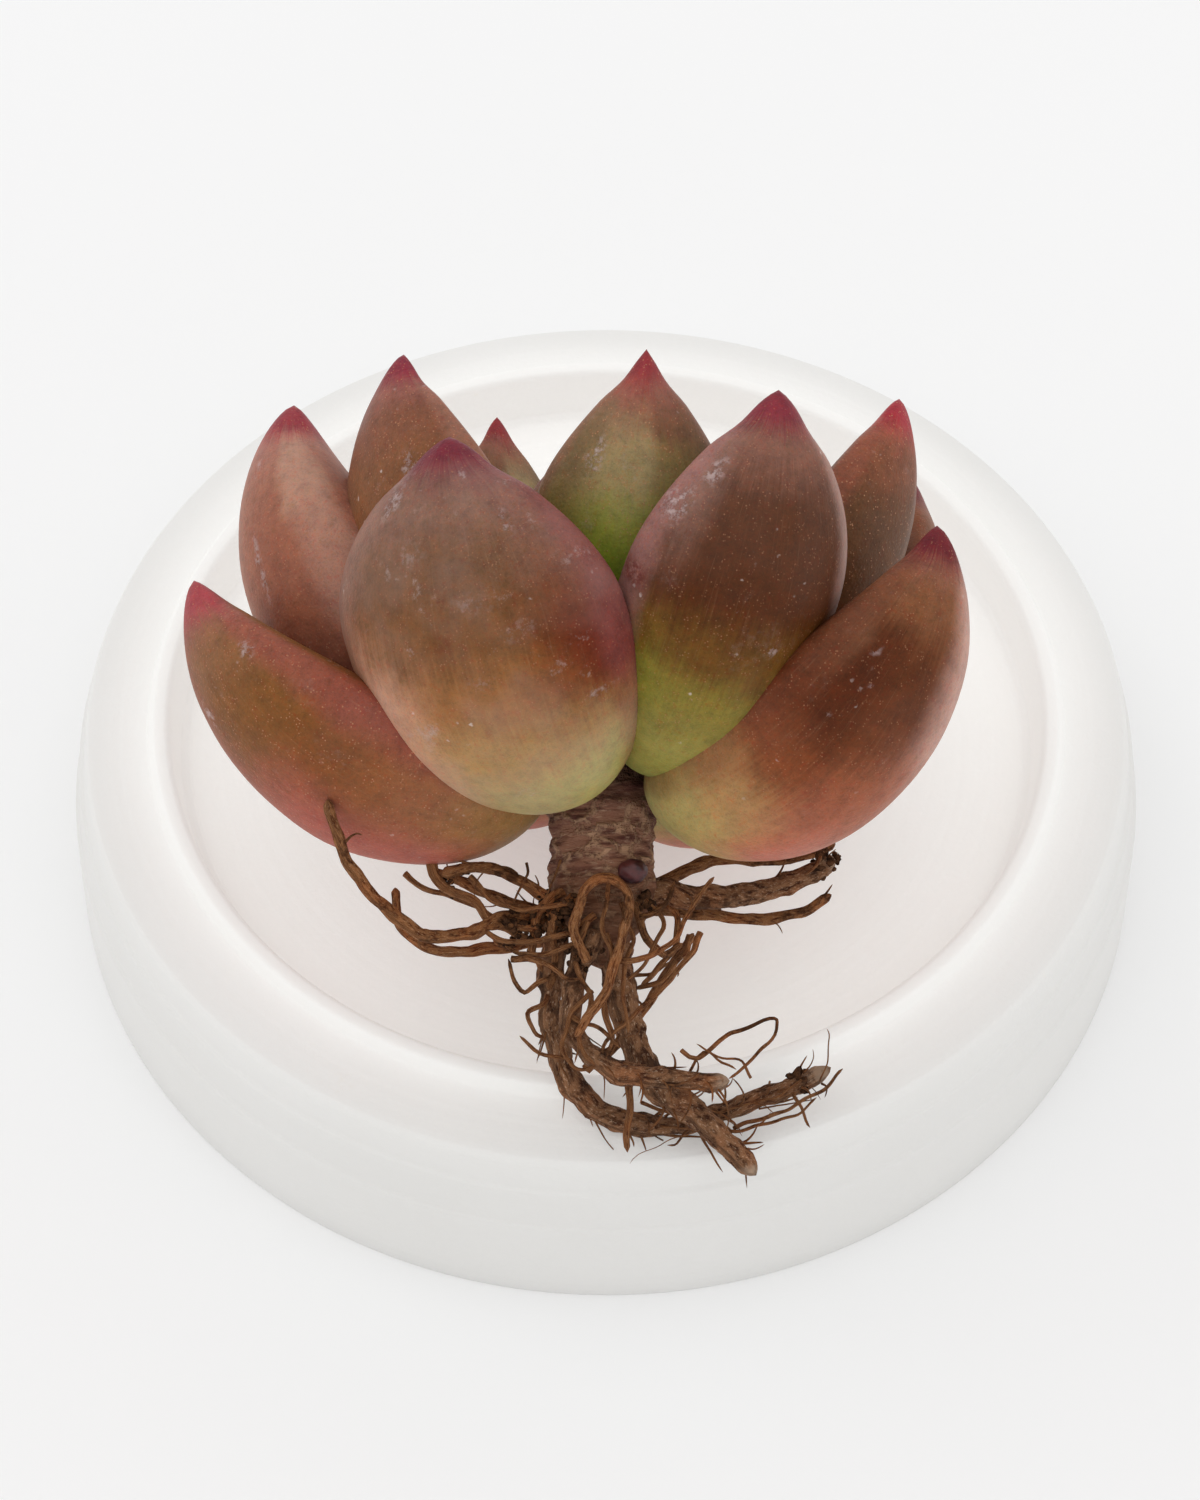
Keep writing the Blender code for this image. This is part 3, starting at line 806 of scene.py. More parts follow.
LEFT_UP = dict(
    stops=[(0.0, (140, 120, 70)), (0.20, (134, 92, 56)), (0.42, (142, 88, 62)), (0.62, (160, 106, 84)),
           (0.80, (158, 108, 90)), (0.92, (166, 112, 100))],
    margin=(182, 140, 124), point=(144, 46, 62), wax=0.4, grain=0.7,
    patches=[((140, 80, 62), 0.45, 0.30, 0.80, 0.20, 0.75), ((166, 116, 98), 0.6, 0.20, 0.85, 0.10, -0.4),
             ((180, 142, 118), 0.6, 0.72, 0.96, 0.86, 1.0)])
UPPER = dict(
    stops=[(0.0, (146, 128, 76)), (0.25, (144, 104, 72)), (0.48, (134, 90, 60)), (0.68, (128, 84, 54)),
           (0.82, (126, 80, 60)), (0.93, (146, 92, 84))],
    margin=(158, 112, 96), point=(132, 36, 58), wax=0.4, grain=0.8,
    patches=[((158, 116, 96), 0.7, 0.40, 0.80, -0.35, -0.85)])
INNER = dict(
    stops=[(0.0, (152, 168, 72)), (0.44, (140, 168, 48)), (0.60, (142, 150, 56)), (0.72, (134, 116, 70)),
           (0.82, (122, 84, 60)), (0.92, (142, 90, 78))],
    margin=(134, 92, 74), point=(140, 50, 58), wax=0.4, grain=0.75, point_length=0.065,
    patches=[((166, 150, 110), 0.55, 0.62, 0.86, 0.22, 0.0), ((150, 66, 60), 0.7, 0.88, 1.0, 0.30, 0.0),
             ((106, 80, 54), 0.7, 0.50, 0.85, 0.35, 0.85), ((106, 80, 54), 0.7, 0.50, 0.85, -0.35, -0.85)])
BACK_RIGHT = dict(
    stops=[(0.0, (134, 124, 70)), (0.25, (122, 92, 56)), (0.50, (100, 68, 42)), (0.72, (98, 66, 42)),
           (0.84, (126, 78, 56)), (0.94, (160, 86, 70))],
    margin=(144, 84, 68), point=(158, 46, 62), wax=0.3, grain=0.9,
    patches=[((112, 104, 48), 0.6, 0.30, 0.62, -0.2, 0.9)])
RUNS = {"outer_leaf_front": FRONT, "middle_leaf_front_right": FRONT_RIGHT, "outer_leaf_right": RIGHT,
        "outer_leaf_left": LEFT, "middle_leaf_left": LEFT_UP, "inner_leaf_front_left": UPPER,
        "inner_leaf_front": INNER, "middle_leaf_right": BACK_RIGHT, "middle_leaf_back_right": BACK_RIGHT,
        "outer_leaf_under_left": LEFT, "middle_leaf_back": FRONT_RIGHT, "middle_leaf_back_left": UPPER}

# %% Growing all the leaves
INNER_FULLNESS = {"middle_leaf_left": 0.62, "middle_leaf_right": 0.45}
HEART_DETAIL, BUD_DETAIL = 0.6, 0.45
leaves = {}
for row in LEAVES:
    name = row[0]
    small = name.startswith("heart")
    leaf = shape_leaf(*row, marks=MARKS.get(name, ()), inner=INNER_FULLNESS.get(name, INNER_SHARE),
                      detail=HEART_DETAIL if small else 1.0)
    run = RUNS.get(name, INNER if ("inner" in name or small) else RIGHT)
    leaf.data.materials.append(leaf_skin(name, **run))
    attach(leaf, "root")
    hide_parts(name)
    leaves[name] = leaf
print("leaves:", len(leaves), "faces in all:", sum(len(o.data.polygons) for o in leaves.values()))

# %% [markdown]
# ## The stem
# The bare stem is a short post of old bark. Every leaf that fell off left a raised ring, so the
# bark is a stack of narrow wavy ridges, purple brown and papery. Its outline is cut into fine
# steps and spun round the growth axis, and each point is then moved in or out to raise the ridges.

# %% Stem outline
STEM_OUTLINE = [(0.0, 14.9), (1.1, 14.7), (1.7, 13.5)]
STEM_OUTLINE += [(core_radius(h), h) for h in (12, 10, 8, 6, 4, 2, 0.8)]
STEM_OUTLINE += [(4.75, -0.5), (4.8, -2.0), (4.5, -3.6), (4.35, -5.2), (4.4, -6.8), (4.6, -8.2),
                 (4.55, -9.4), (4.2, -10.5), (3.5, -11.8), (2.6, -13.1), (1.7, -14.3),
                 (1.1, -15.3), (0.0, -15.8)]


def ring_relief(point):
    """How far the bark stands out at a point of the plant's frame, in mm."""
    x, y, z = point
    around = Vector((math.cos(math.atan2(y, x)), math.sin(math.atan2(y, x)), 0))
    wave = noise.noise(around * 1.6 + Vector((0, 0, z * 0.3))) * 1.6
    ridge = abs(math.sin(math.pi * (z + wave) / 1.7))
    fine = noise.noise(around * 6.0 + Vector((0, 0, z * 3.4)))
    flake = noise.noise(around * 2.8 + Vector((3, 0, z * 1.4)))
    torn = max(0.0, noise.noise(around * 4.0 + Vector((9, 2, z * 1.1))) - 0.15)
    return 0.16 * (0.5 - ridge) + 0.15 * fine + 0.26 * flake + 0.5 * torn


STEM_STEP, STEM_TURNS = 0.22, 96
BARE_BELOW = 2


def spin_stem():
    rows = []
    for (r0, z0), (r1, z1) in zip(STEM_OUTLINE, STEM_OUTLINE[1:]):
        steps = max(1, round(math.hypot(r1 - r0, z1 - z0) / STEM_STEP))
        rows += [(r0 + (r1 - r0) * i / steps, z0 + (z1 - z0) * i / steps) for i in range(steps)]
    rows.append(STEM_OUTLINE[-1])
    stem = spin_outline("stem_bark_post", [in_plant(r, 0, z) for r, z in rows], STEM_TURNS,
                        CROWN_POINT, GROWTH)
    for vertex in stem.data.vertices:
        away = vertex.co - CROWN_POINT
        z = away.dot(GROWTH) / MM
        x, y = away.x / MM, away.dot(DOWN_SIDE) / MM
        out = math.hypot(x, y)
        if out > 0.3 and z < BARE_BELOW:
            push = ring_relief((x, y, z)) * min(1.0, out / 2) / out
            vertex.co += (Vector((1, 0, 0)) * x + DOWN_SIDE * y) * push * MM
    bpy.ops.object.shade_smooth()
    return stem


stem = spin_stem()
print("stem faces:", len(stem.data.polygons))

# %% Group: fibres and bark grain
def group_bark():
    group, given = new_group(
        "old_bark",
        [("Vector", "vector", None), ("Deep", "colour", paint(52, 26, 20)),
         ("Body", "colour", paint(112, 78, 58)), ("Pale", "colour", paint(176, 142, 110)),
         ("Paper", "value", 0.5), ("Scale", "value", 1.0)],
        [("Color", "colour"), ("Roughness", "value"), ("Height", "value")])

    def layer(amount, detail, roughness):
        return noise_of(group, given["Vector"], times(group, given["Scale"], amount), detail, roughness)

    broad, fibre, pits = layer(1.0, 5.0, 0.62), layer(3.2, 6.0, 0.72), layer(7.0, 3.0, 0.6)
    colour = lay_over(group, soft_step(group, broad, 0.34, 0.58), given["Deep"], given["Body"])
    lit = times(group, soft_step(group, fibre, 0.52, 0.74), given["Paper"])
    colour = lay_over(group, lit, colour, given["Pale"])
    pitted = times(group, soft_step(group, pits, 0.44, 0.30), 0.75)
    colour = lay_over(group, pitted, colour, given["Deep"])
    rough = plus(group, times(group, fibre, 0.3), 0.62)
    height = plus(group, times(group, fibre, 1.0), times(group, pits, 0.6))
    return give_out(group, Color=colour, Roughness=rough, Height=height)


OLD_BARK = group_bark()


def stem_bark():
    """Bark whose lines run round the stem: the pattern turns with the plant and is squeezed along it."""
    material, tree, shader = blank_material("stem_bark", 0.8, 0.15)
    local = node(tree, "ShaderNodeMapping", {"Vector": object_place(tree),
                                             "Location": tuple(-c for c in CROWN_POINT)},
                 vector_type="POINT").outputs[0]
    turned = node(tree, "ShaderNodeMapping", {"Vector": local, "Rotation": (tilt, 0, 0)}).outputs[0]
    bark = place_group(tree, OLD_BARK, {
        "Vector": stretched(tree, turned, (260, 260, 1500)), "Deep": paint(88, 50, 42),
        "Body": paint(160, 114, 92), "Pale": paint(212, 176, 150), "Paper": 0.9, "Scale": 1.0})
    # the scars of fallen leaves: wide low cells with torn pale rims
    scars = node(tree, "ShaderNodeTexVoronoi", {"Vector": stretched(tree, turned, (300, 300, 640)),
                                                "Scale": 1.0, "Randomness": 0.8},
                 feature="DISTANCE_TO_EDGE").outputs["Distance"]
    rim = times(tree, soft_step(tree, scars, 0.16, 0.03),
                soft_step(tree, noise_of(tree, turned, 900.0, 4.0, 0.7), 0.42, 0.58))
    raised = plus(tree, bark["Height"], times(tree, rim, 1.2))
    # darker in the middle of each scar, painted shade close under the leaves, browner down at the crown
    height = node(tree, "ShaderNodeSeparateXYZ", {0: turned}).outputs[2]
    colour = bark["Color"]
    for mask, strength, tint in (
            (rim, 0.7, (206, 164, 132)),
            (soft_step(tree, scars, 0.22, 0.45), 0.4, (122, 70, 62)),
            # painted shade: the top of the stem darkened where the leaves shade it
            (soft_step(tree, height, -3.5 * MM, 0.5 * MM), 0.7, (60, 28, 24)),
            (soft_step(tree, height, -6.5 * MM, -10.0 * MM), 0.55, (104, 66, 36))):
        colour = stain(tree, colour, mask, strength, tint)
    join(tree, shader, colour, bark["Roughness"], raised, 0.25 * MM)
    return material


stem.data.materials.append(stem_bark())
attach(stem, "root")
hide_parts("stem")
print("stem finish:", stem.data.materials[0].name)

# %% [markdown]
# ## Roots
# A dry root is a crooked, wrinkled cord that thins towards its end and stops bluntly where it
# broke. A curve with a bevel would be too even, so each root is a ring of points carried along a
# smoothed course. The rings swell, wander and wrinkle a little. Each point keeps how far round the
# root it is, how far along, and at what share of the whole, so that the bark can follow the root.

# %% Sweeping a root along its course
def smooth_course(points, spacing):
    """Points spaced evenly on a smooth line through the given ones, in mm."""
    ends = [2 * points[0] - points[1]] + list(points) + [2 * points[-1] - points[-2]]
    line = []
    for a, b, c, d in zip(ends, ends[1:], ends[2:], ends[3:]):
        steps = max(2, int((c - b).length / spacing))
        for i in range(steps):
            t = i / steps
            line.append(0.5 * (2 * b + (c - a) * t + (2 * a - 5 * b + 4 * c - d) * t * t
                               + (3 * b - a - 3 * c + d) * t ** 3))
    line.append(points[-1].copy())
    return line


def sweep(course, width, taper, sides, spacing, rough=0.10, wander=0.0, seed=0.0, blunt=0.5):
    """Vertices in mm, faces, and (round, length so far, share of the whole) of each, for one root."""
    line = smooth_course([Vector(p) for p in course], spacing)
    shift = Vector((seed * 3.1, seed * 1.7, seed))
    if wander:
        line = [p + wander * min(1.0, i / 4) * noise.noise_vector(p * 0.45 + shift)
                for i, p in enumerate(line)]
    count = len(line)
    verts, faces, places = [], [], []
    heading = (line[1] - line[0]).normalized()
    across = heading.orthogonal().normalized()
    along = 0.0
    for i, point in enumerate(line):
        forward = (line[min(i + 1, count - 1)] - line[max(i - 1, 0)]).normalized()
        across = (across - forward * across.dot(forward)).normalized()
        beside = forward.cross(across)
        share = i / (count - 1)
        if i:
            along += (point - line[i - 1]).length
        radius = width / 2 * (1 - (1 - taper) * share)
        radius *= 1 + 1.3 * rough * noise.noise(point * 0.55 + shift)
        left = (count - 1 - i) * spacing / (width * 0.45)
        closing = max(blunt * 0.55, math.sqrt(max(0.0, 1 - (1 - left) ** 2))) if left < 1 else 1.0
        for k in range(sides):
            turn = math.tau * k / sides
            direction = across * math.cos(turn) + beside * math.sin(turn)
            folds = noise.noise(direction * 1.6 + Vector((along * 0.35, seed, 0)))
            fine = noise.noise(direction * 3.5 + Vector((along * 1.3, 0, seed)))
            verts.append(point + direction * radius * closing * (1 + rough * (1.4 * folds + 0.7 * fine)))
            places.append((k / sides, along, share))
        if i:
            low, high = (i - 1) * sides, i * sides
            faces += [(low + k, low + (k + 1) % sides, high + (k + 1) % sides, high + k)
                      for k in range(sides)]
    for end, step in ((0, -1), (count - 1, 1)):
        tip = len(verts)
        verts.append(line[end] + (line[end] - line[end - step]).normalized() * width * 0.12)
        places.append((0.5, along if end else 0.0, 1.0 if end else 0.0))
        ring = end * sides
        for k in range(sides):
            pair = (ring + k, ring + (k + 1) % sides)
            faces.append((pair + (tip,)) if step > 0 else (pair[::-1] + (tip,)))
    return verts, faces, places


def root_mesh(name, strands):
    """One object from several swept strands."""
    verts, faces, places = [], [], []
    for strand_verts, strand_faces, strand_places in strands:
        base = len(verts)
        verts += [in_plant(*v) for v in strand_verts]
        faces += [tuple(i + base for i in face) for face in strand_faces]
        places += strand_places
    piece = new_piece(name, verts, [], faces)
    held = piece.data.attributes.new("root_place", "FLOAT_VECTOR", "POINT")
    held.data.foreach_set("vector", [v for row in places for v in row])
    close_up(piece)
    return piece


# %% [markdown]
# ## Root bark
# Root bark is a warm grey brown with fibres that run along the root, darker in its folds and paler
# where the skin has rubbed off. The pattern follows the root through the stored place of each
# point, wrapped round as a circle so that no seam shows.

# %% Root finish
def root_bark(name, deep, body, pale, worn_end=0.0):
    material, tree, shader = blank_material(name, 0.85, 0.12)
    apart = stored(tree, "root_place")[1]
    turn = times(tree, apart[0], math.tau)
    wrap = node(tree, "ShaderNodeCombineXYZ", {0: calc(tree, "COSINE", turn), 1: calc(tree, "SINE", turn),
                                               2: times(tree, apart[1], 0.45)}).outputs[0]
    place = object_place(tree)
    mixed = node(tree, "ShaderNodeVectorMath", {0: wrap, 1: stretched(tree, place, (160, 160, 160))},
                 operation="ADD").outputs[0]
    bark = place_group(tree, OLD_BARK, {"Vector": mixed, "Deep": paint(*deep), "Body": paint(*body),
                                        "Pale": paint(*pale), "Paper": 1.0, "Scale": 2.1})
    # bleached lengths, stains of soil, and the torn end worn pale
    bleached = soft_step(tree, noise_of(tree, place, 190.0, 3.0, 0.6), 0.46, 0.66)
    colour = stain(tree, bark["Color"], bleached, 0.45, (216, 184, 160), "OVERLAY")
    soil = soft_step(tree, noise_of(tree, place, 300.0, 5.0, 0.7), 0.52, 0.64)
    colour = stain(tree, colour, soil, 0.75, (54, 30, 18))
    worn = times(tree, soft_step(tree, apart[2], 0.93, 0.99),
                 soft_step(tree, noise_of(tree, place, 900.0, 3.0), 0.35, 0.6))
    colour = stain(tree, colour, worn, worn_end, (206, 176, 150))
    join(tree, shader, colour, bark["Roughness"], bark["Height"], 0.30 * MM)
    return material


THICK_BARK = root_bark("root_bark_thick", (72, 40, 24), (158, 114, 82), (236, 200, 168), 0.8)
FINE_BARK = root_bark("root_bark_fine", (96, 50, 26), (182, 124, 80), (238, 194, 150))

# %% Root courses: width, taper and points across, down and along the plant, in mm
ROOTS = {
    "root_hook": (2.3, 0.66,
                  [(-2.8, 0.4, -1.6), (-4.0, 0.8, -4.2), (-4.6, 2, -9), (-3.6, 3.4, -14),
                   (-1.8, 4.3, -17.5),
                              (0.8, 4.8, -19.4), (5, 4.8, -20), (8.5, 4.8, -19.4), (13.8, 4.3, -17.6),
                              (19.6, 3.4, -15.2)]),
    "root_tap": (2.9, 0.72, [(0.9, 0, -4.4), (2, 0.2, -9.5), (2.8, 0.6, -13.4), (5, 1.2, -16.8),
                             (8.4, 1.8, -19.4), (11, 2.4, -21.8), (13.1, 3.2, -24.0)]),
    "root_front": (1.9, 0.8, [(-0.6, -3.9, -3.8), (-2.4, -3.6, -8.4), (-2.6, -3.3, -11.8),
                              (-0.2, -3, -14.7), (4, -2.6, -16), (10.6, -2.2, -16.4)]),
    "root_right": (2.2, 0.75, [(3.4, 0, -0.4), (5.4, 0.2, 0), (8.4, 1, -0.6), (13.6, 2, 0.1), (17, 2, 1.2),
                               (20.2, 2, 3)]),
    "root_right_upper": (1.1, 0.8, [(3.8, 2.2, 0.4), (5.6, 3.2, 1.2), (10.2, 4.6, 3.1), (15.5, 4.8, 3),
                                    (20.2, 4.6, 4.4)]),
    "root_right_lower": (1.2, 0.7, [(3.2, 2.2, -1.4), (4.8, 3.4, -1.4), (8.6, 4.6, -1.6), (13, 4.8, -2),
                                    (17.2, 4.6, -1.6), (19.8, 4.4, 0)]),
    "root_left_long": (1.2, 0.75, [(-3.4, -0.6, -3), (-4.6, -1.2, -3), (-8.5, -3, -2.6), (-11.1, -5, -4),
                                   (-14.3, -7, -4.5), (-17.5, -9, -2.6), (-20.7, -11, 1),
                                   (-21.8, -12.2, 3.6), (-22.4, -13, 6.4)]),
    "root_left_under": (1.0, 0.8, [(-4.0, 2, -4), (-5.6, 3, -4.2), (-8.4, 3.2, -4.7), (-13.2, 3.8, -5.1),
                                   (-17.1, 4.5, -3.4), (-18.1, 5, 0.4)]),
    "root_left_upper": (1.1, 0.8, [(-3.4, -1.8, -0.8), (-4.8, -2.4, -0.8), (-7, -3, 0.6), (-9.5, -3.8, 1.6),
                                   (-13.6, -4.6, 1)]),
    "root_left_back": (1.0, 0.8,
                       [(-3.6, 1.6, -1.8), (-4.8, 2.4, -1.8), (-8.8, 2.4, -0.4), (-12.2, 2.2, 0.8),
                                  (-14.6, 2, 1.6)]),
    "root_loop": (0.9, 0.9,
                  [(-1.2, -5.4, -6.4), (-2.3, -5.5, -3.6), (-1.6, -5.7, -0.8), (-0.2, -5.8, 0.6),
                   (1.3, -5.8, 0.2),
                             (2.2, -5.6, -1.4), (1.4, -5.6, -6), (0, -5.5, -9.4), (-2.2, -5.5, -12.6)]),
    "root_back": (0.9, 0.8, [(-1.4, 3.6, -15.2), (1.2, 4, -13), (3.2, 4, -10.6), (5.8, 4, -6.6),
                             (7.8, 4, -3.6)]),
}


def from_collar(course):
    """Course points count from the stem's lower end; the plant's frame starts at the rosette."""
    return [(x, y, z - STEM_LENGTH) for x, y, z in course]


THICK_FROM = 1.5
roots = {}
for number, (name, (width, taper, course)) in enumerate(ROOTS.items()):
    thick = width > THICK_FROM
    sides, spacing, rough = (20, 0.28, 0.20) if thick else (12, 0.32, 0.17)
    strand = sweep(from_collar(course), width, taper, sides, spacing, rough=rough, wander=0.25,
                   seed=number * 5.3, blunt=0.75)
    piece = root_mesh(name + "_cord", [strand])
    piece.data.materials.append(THICK_BARK if thick else FINE_BARK)
    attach(piece, "root")
    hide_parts(name)
    roots[name] = piece
print("roots:", len(roots), "faces in all:", sum(len(o.data.polygons) for o in roots.values()))

# %% [markdown]
# ## The heart of the rosette
# Seen from above, the youngest leaves close over the tip of the stem. They are small, green and
# half open, made with the same function as the others and standing close round the middle.

# %% Young leaves at the middle
HEART_BUDS = [
    ("bud_leaf_front", 0, 13.6, 2.6, 22.4, 16, 5.4, 3.6),
    ("bud_leaf_right", 84, 13.4, 3.6, 22.8, 22, 6.0, 3.6),
    ("bud_leaf_back", 176, 13.2, 4.4, 23.4, 26, 6.6, 3.8),
    ("bud_leaf_left", -88, 13.8, 3.0, 21.6, 18, 5.6, 3.4),
    ("bud_leaf_back_right", 134, 13.0, 5.4, 21.4, 30, 6.0, 3.2),
    ("bud_leaf_back_left", -130, 13.0, 5.2, 22.6, 30, 6.2, 3.4),
]
bud_material = leaf_skin("heart_bud", INNER["stops"], INNER["margin"], INNER["point"], wax=0.3, grain=0.6)
for row in HEART_BUDS:
    young = shape_leaf(*row, detail=BUD_DETAIL)
    young.data.materials.append(bud_material)
    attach(young, "root")
print("young leaves:", len(HEART_BUDS))

# %% [markdown]
# ## Fine roots
# Between the main roots grow many thin ones, and most main roots carry short hairs. The ones that
# stand out are laid one by one. The rest sprout from the main roots at seeded places and curl down
# a little.

# %% Rootlets laid one by one: width and points in the plant's frame, in mm
ROOTLETS = [
    (0.55, [(-1.5, -4.2, -9.8), (-2.6, -4.6, -10.4), (-5, -4.5, -10.9), (-7.5, -4.5, -10.7),
            (-9, -4.3, -9.8)]),
    (0.60, [(0.8, -5, -15.1), (3, -5.6, -15.4), (5.4, -6, -14.2), (6.9, -6, -12.3), (8.1, -6, -10.2),
            (9.3, -6, -8.5)]),
    (0.55, [(8.3, -5, -12.9), (7.2, -5, -15.3), (4.8, -5, -17.8), (2.4, -4.6, -20.2), (0.5, -4, -22),
            (-0.1, -3.4, -23.5)]),
    (0.42, [(6.7, -2.5, -22.7), (7.9, -2.5, -23.4), (10.1, -2.6, -21.6), (13.1, -2.8, -20.5),
            (14.8, -2.8, -20.2), (14, -2.7, -22.2), (11.9, -2.5, -23.9), (10.7, -2.4, -24.9)]),
    (0.16, [(18.7, 2.6, -25.2), (19.5, 1.5, -23.4), (19.4, 0.6, -22), (19, 0.2, -20.7)]),
    (0.55, [(-3.4, -3.6, -16.2), (-5, -4.6, -16.9), (-6.5, -5, -17.9), (-7.4, -5, -16.9),
            (-7.9, -4.8, -15.4)]),
    (0.60, [(-7.6, -5, -15.2), (-5, -5.5, -15.7), (-3.1, -5.5, -16.6), (-1.8, -5.3, -16.9)]),
    (0.45, [(-3.2, -3, -23.4), (-4.7, -3.4, -23), (-5.6, -3.5, -22.6), (-6.8, -3.5, -21.4)]),
    (0.50, [(-4.6, -2, -18.2), (-5, -3, -18.9), (-6.2, -3, -19.8), (-5.9, -3, -21.4),
            (-4.6, -2.4, -22)]),
    (0.85, [(2.5, 0.8, -23.6), (2.1, 1, -25.5), (2.4, 1, -28), (2, 1, -31.1)]),
    (0.10, [(8.3, -0.4, -29.4), (7.3, -1, -29.8), (4.9, -1, -30.6), (3, -1, -31.4), (2.4, -1, -32.1)]),
    (0.60, [(-11.2, -3.8, -8.2), (-9.3, -3.8, -10.1), (-7.5, -3.4, -10.8), (-5.2, -2.8, -11.2)]),
    (1.00, [(-14.5, -4.2, -6.7), (-13.9, -4.2, -8.3), (-11.4, -4.2, -10.1), (-8.7, -3.8, -12.2),
            (-6, -3, -13.4)]),
    (0.55, [(-16.7, -3.5, -7.9), (-15.5, -3.5, -8.8), (-12.4, -3.5, -9.8), (-10.2, -3.3, -11),
            (-7.4, -2.8, -12)]),
    (0.75, [(-5.4, -3, -12.6), (-9.9, -4, -12.2), (-11.4, -4, -12.9), (-12.4, -4, -13.5)]),
    (0.28, [(-6.4, -4, -7), (-6.2, -4.2, -8.5), (-6.9, -4, -9.7), (-7.5, -3.8, -10.4)]),
    (0.24, [(-3.5, -4.6, -6.8), (-4.2, -4.8, -8.6), (-5, -4.8, -10.3)]),
    (0.70, [(7.6, 2, -12.7), (6.5, 2, -14.9), (4.9, 2, -16.8), (2.9, 1.8, -17.4)]),
    (0.35, [(2.7, 2, -16.2), (4.3, 2, -15.9), (5.9, 2, -14.8)]),
    (0.45, [(0.6, -5.6, -8.6), (0.2, -5.7, -12), (0.8, -5.4, -15.6), (0.3, -4.8, -19),
            (0.9, -4.2, -22.4)]),
    (0.50, [(1.6, -4.8, -10.4), (2.6, -4.6, -13.4), (1.8, -4.8, -17.2), (2, -4.2, -21)]),
    (0.60, [(-1.2, -4.9, -12), (-2.2, -5, -15.2), (-1, -4.9, -18.4), (-1.8, -4.4, -21.6),
            (-0.6, -4, -24)]),
    (0.45, [(3.6, -3.2, -9.8), (5, -3.8, -12.2), (4.2, -4.2, -14.8), (2, -4.6, -16.8)]),
    (0.70, [(4.2, 0.6, -9), (6.6, 1.2, -11.2), (5.6, 1.4, -14.6), (3.4, 1.2, -17)]),
    (0.50, [(-0.8, -4.6, -17.8), (-2.6, -4.4, -20), (-3.2, -4, -23), (-1.6, -3.6, -24.4),
            (0.6, -3.6, -23.6)]),
    (0.40, [(19.2, 1.6, -5.2), (18.6, -0.4, -6.6), (17.2, -1, -7.8)]),
    (0.35, [(16.4, 2.4, -26.2), (17, 1.4, -27.4), (17.6, 1, -29)]),
    (0.30, [(8.2, 4, -28.6), (7, 3.2, -30.2), (5.6, 3, -30.6)]),
    (1.10, [(-3, -2.6, -9.2), (-5.2, -3.2, -11), (-6, -2.4, -13.6), (-5, -1.2, -16)]),
    (0.90, [(-2.4, -3.6, -9.8), (-4.4, -4, -12.4), (-3.6, -3.8, -15), (-4.4, -2.8, -17.6)]),
    (0.80, [(-4.4, -1.6, -9.6), (-6.6, -2, -12), (-8, -1.6, -13.6), (-9.4, -1.4, -13.4)]),
    (0.70, [(-0.6, -4.2, -11.4), (-3.4, -4.4, -13.2), (-6.2, -4.2, -13.8), (-8.6, -4.2, -13.4),
            (-10.4, -4, -12.6)]),
    (0.90, [(2.8, -3.2, -10.2), (3.6, -2.4, -13), (5.2, -1, -14.4), (6.8, 0.2, -13.6)]),
    (0.60, [(-1.8, -4.6, -13.6), (-4.2, -4.8, -14.6), (-6.8, -4.6, -14.8), (-8.2, -4.2, -13.8)]),
    (0.60, [(3.2, -3.8, -11.6), (4.6, -4, -11.2), (5.8, -3.6, -9.8), (6.2, -3, -8.4)]),
    (0.42, [(11.4, 3.8, -29.2), (13.6, 2.8, -28.4), (16.2, 2.4, -27.4), (19, 2.2, -25.6),
            (20.6, 2, -24.2)]),
    (0.34, [(10.2, 4, -29.4), (13, 3.4, -29.2), (16, 3, -28.2), (18.4, 2.6, -26.8)]),
    (0.30, [(9, 4.2, -28.2), (12.4, 3.2, -27), (15.2, 2.6, -26.6), (17.4, 2.8, -25)]),
    (0.36, [(3.4, 3.6, -27), (6, 3.4, -28), (8.6, 3.2, -28.6), (11, 3, -29.6)]),
    (0.30, [(7.4, -1.4, -24.6), (8.2, -2.2, -23.2), (9, -2.4, -22.8), (9.8, -2.4, -23.8),
            (11.2, -2.2, -24.4)]),
    (0.26, [(12.6, -2, -25), (11.4, -2.6, -23.6), (9.6, -2.8, -23.2), (8, -2.6, -22.4)]),
    (0.55, [(0.4, -4.6, -13), (1.2, -5, -16), (0.2, -4.8, -18.6), (1, -4.2, -21.4),
            (0.6, -3.8, -23.6)]),
    (0.50, [(-3.4, -3.4, -18.6), (-2.2, -4.4, -20.2), (-0.4, -4.4, -21), (1.4, -4, -22.6)]),
]


def lay_rootlets():
    strands = [sweep(course, width, taper=0.6, sides=7, spacing=0.35, rough=0.12, wander=0.45,
                     seed=40 + i * 2.9, blunt=0.5)
               for i, (width, course) in enumerate(ROOTLETS)]
    return root_mesh("rootlets", strands)


SPROUTS = {"root_hook": 64, "root_tap": 26, "root_front": 30, "root_right": 7, "root_right_lower": 3,
           "root_left_long": 4, "root_left_upper": 9, "root_left_back": 4, "root_back": 3}
HAIR_SEED, CRUMB_SEED = 11, 23
HAIR_JOINTS = 4


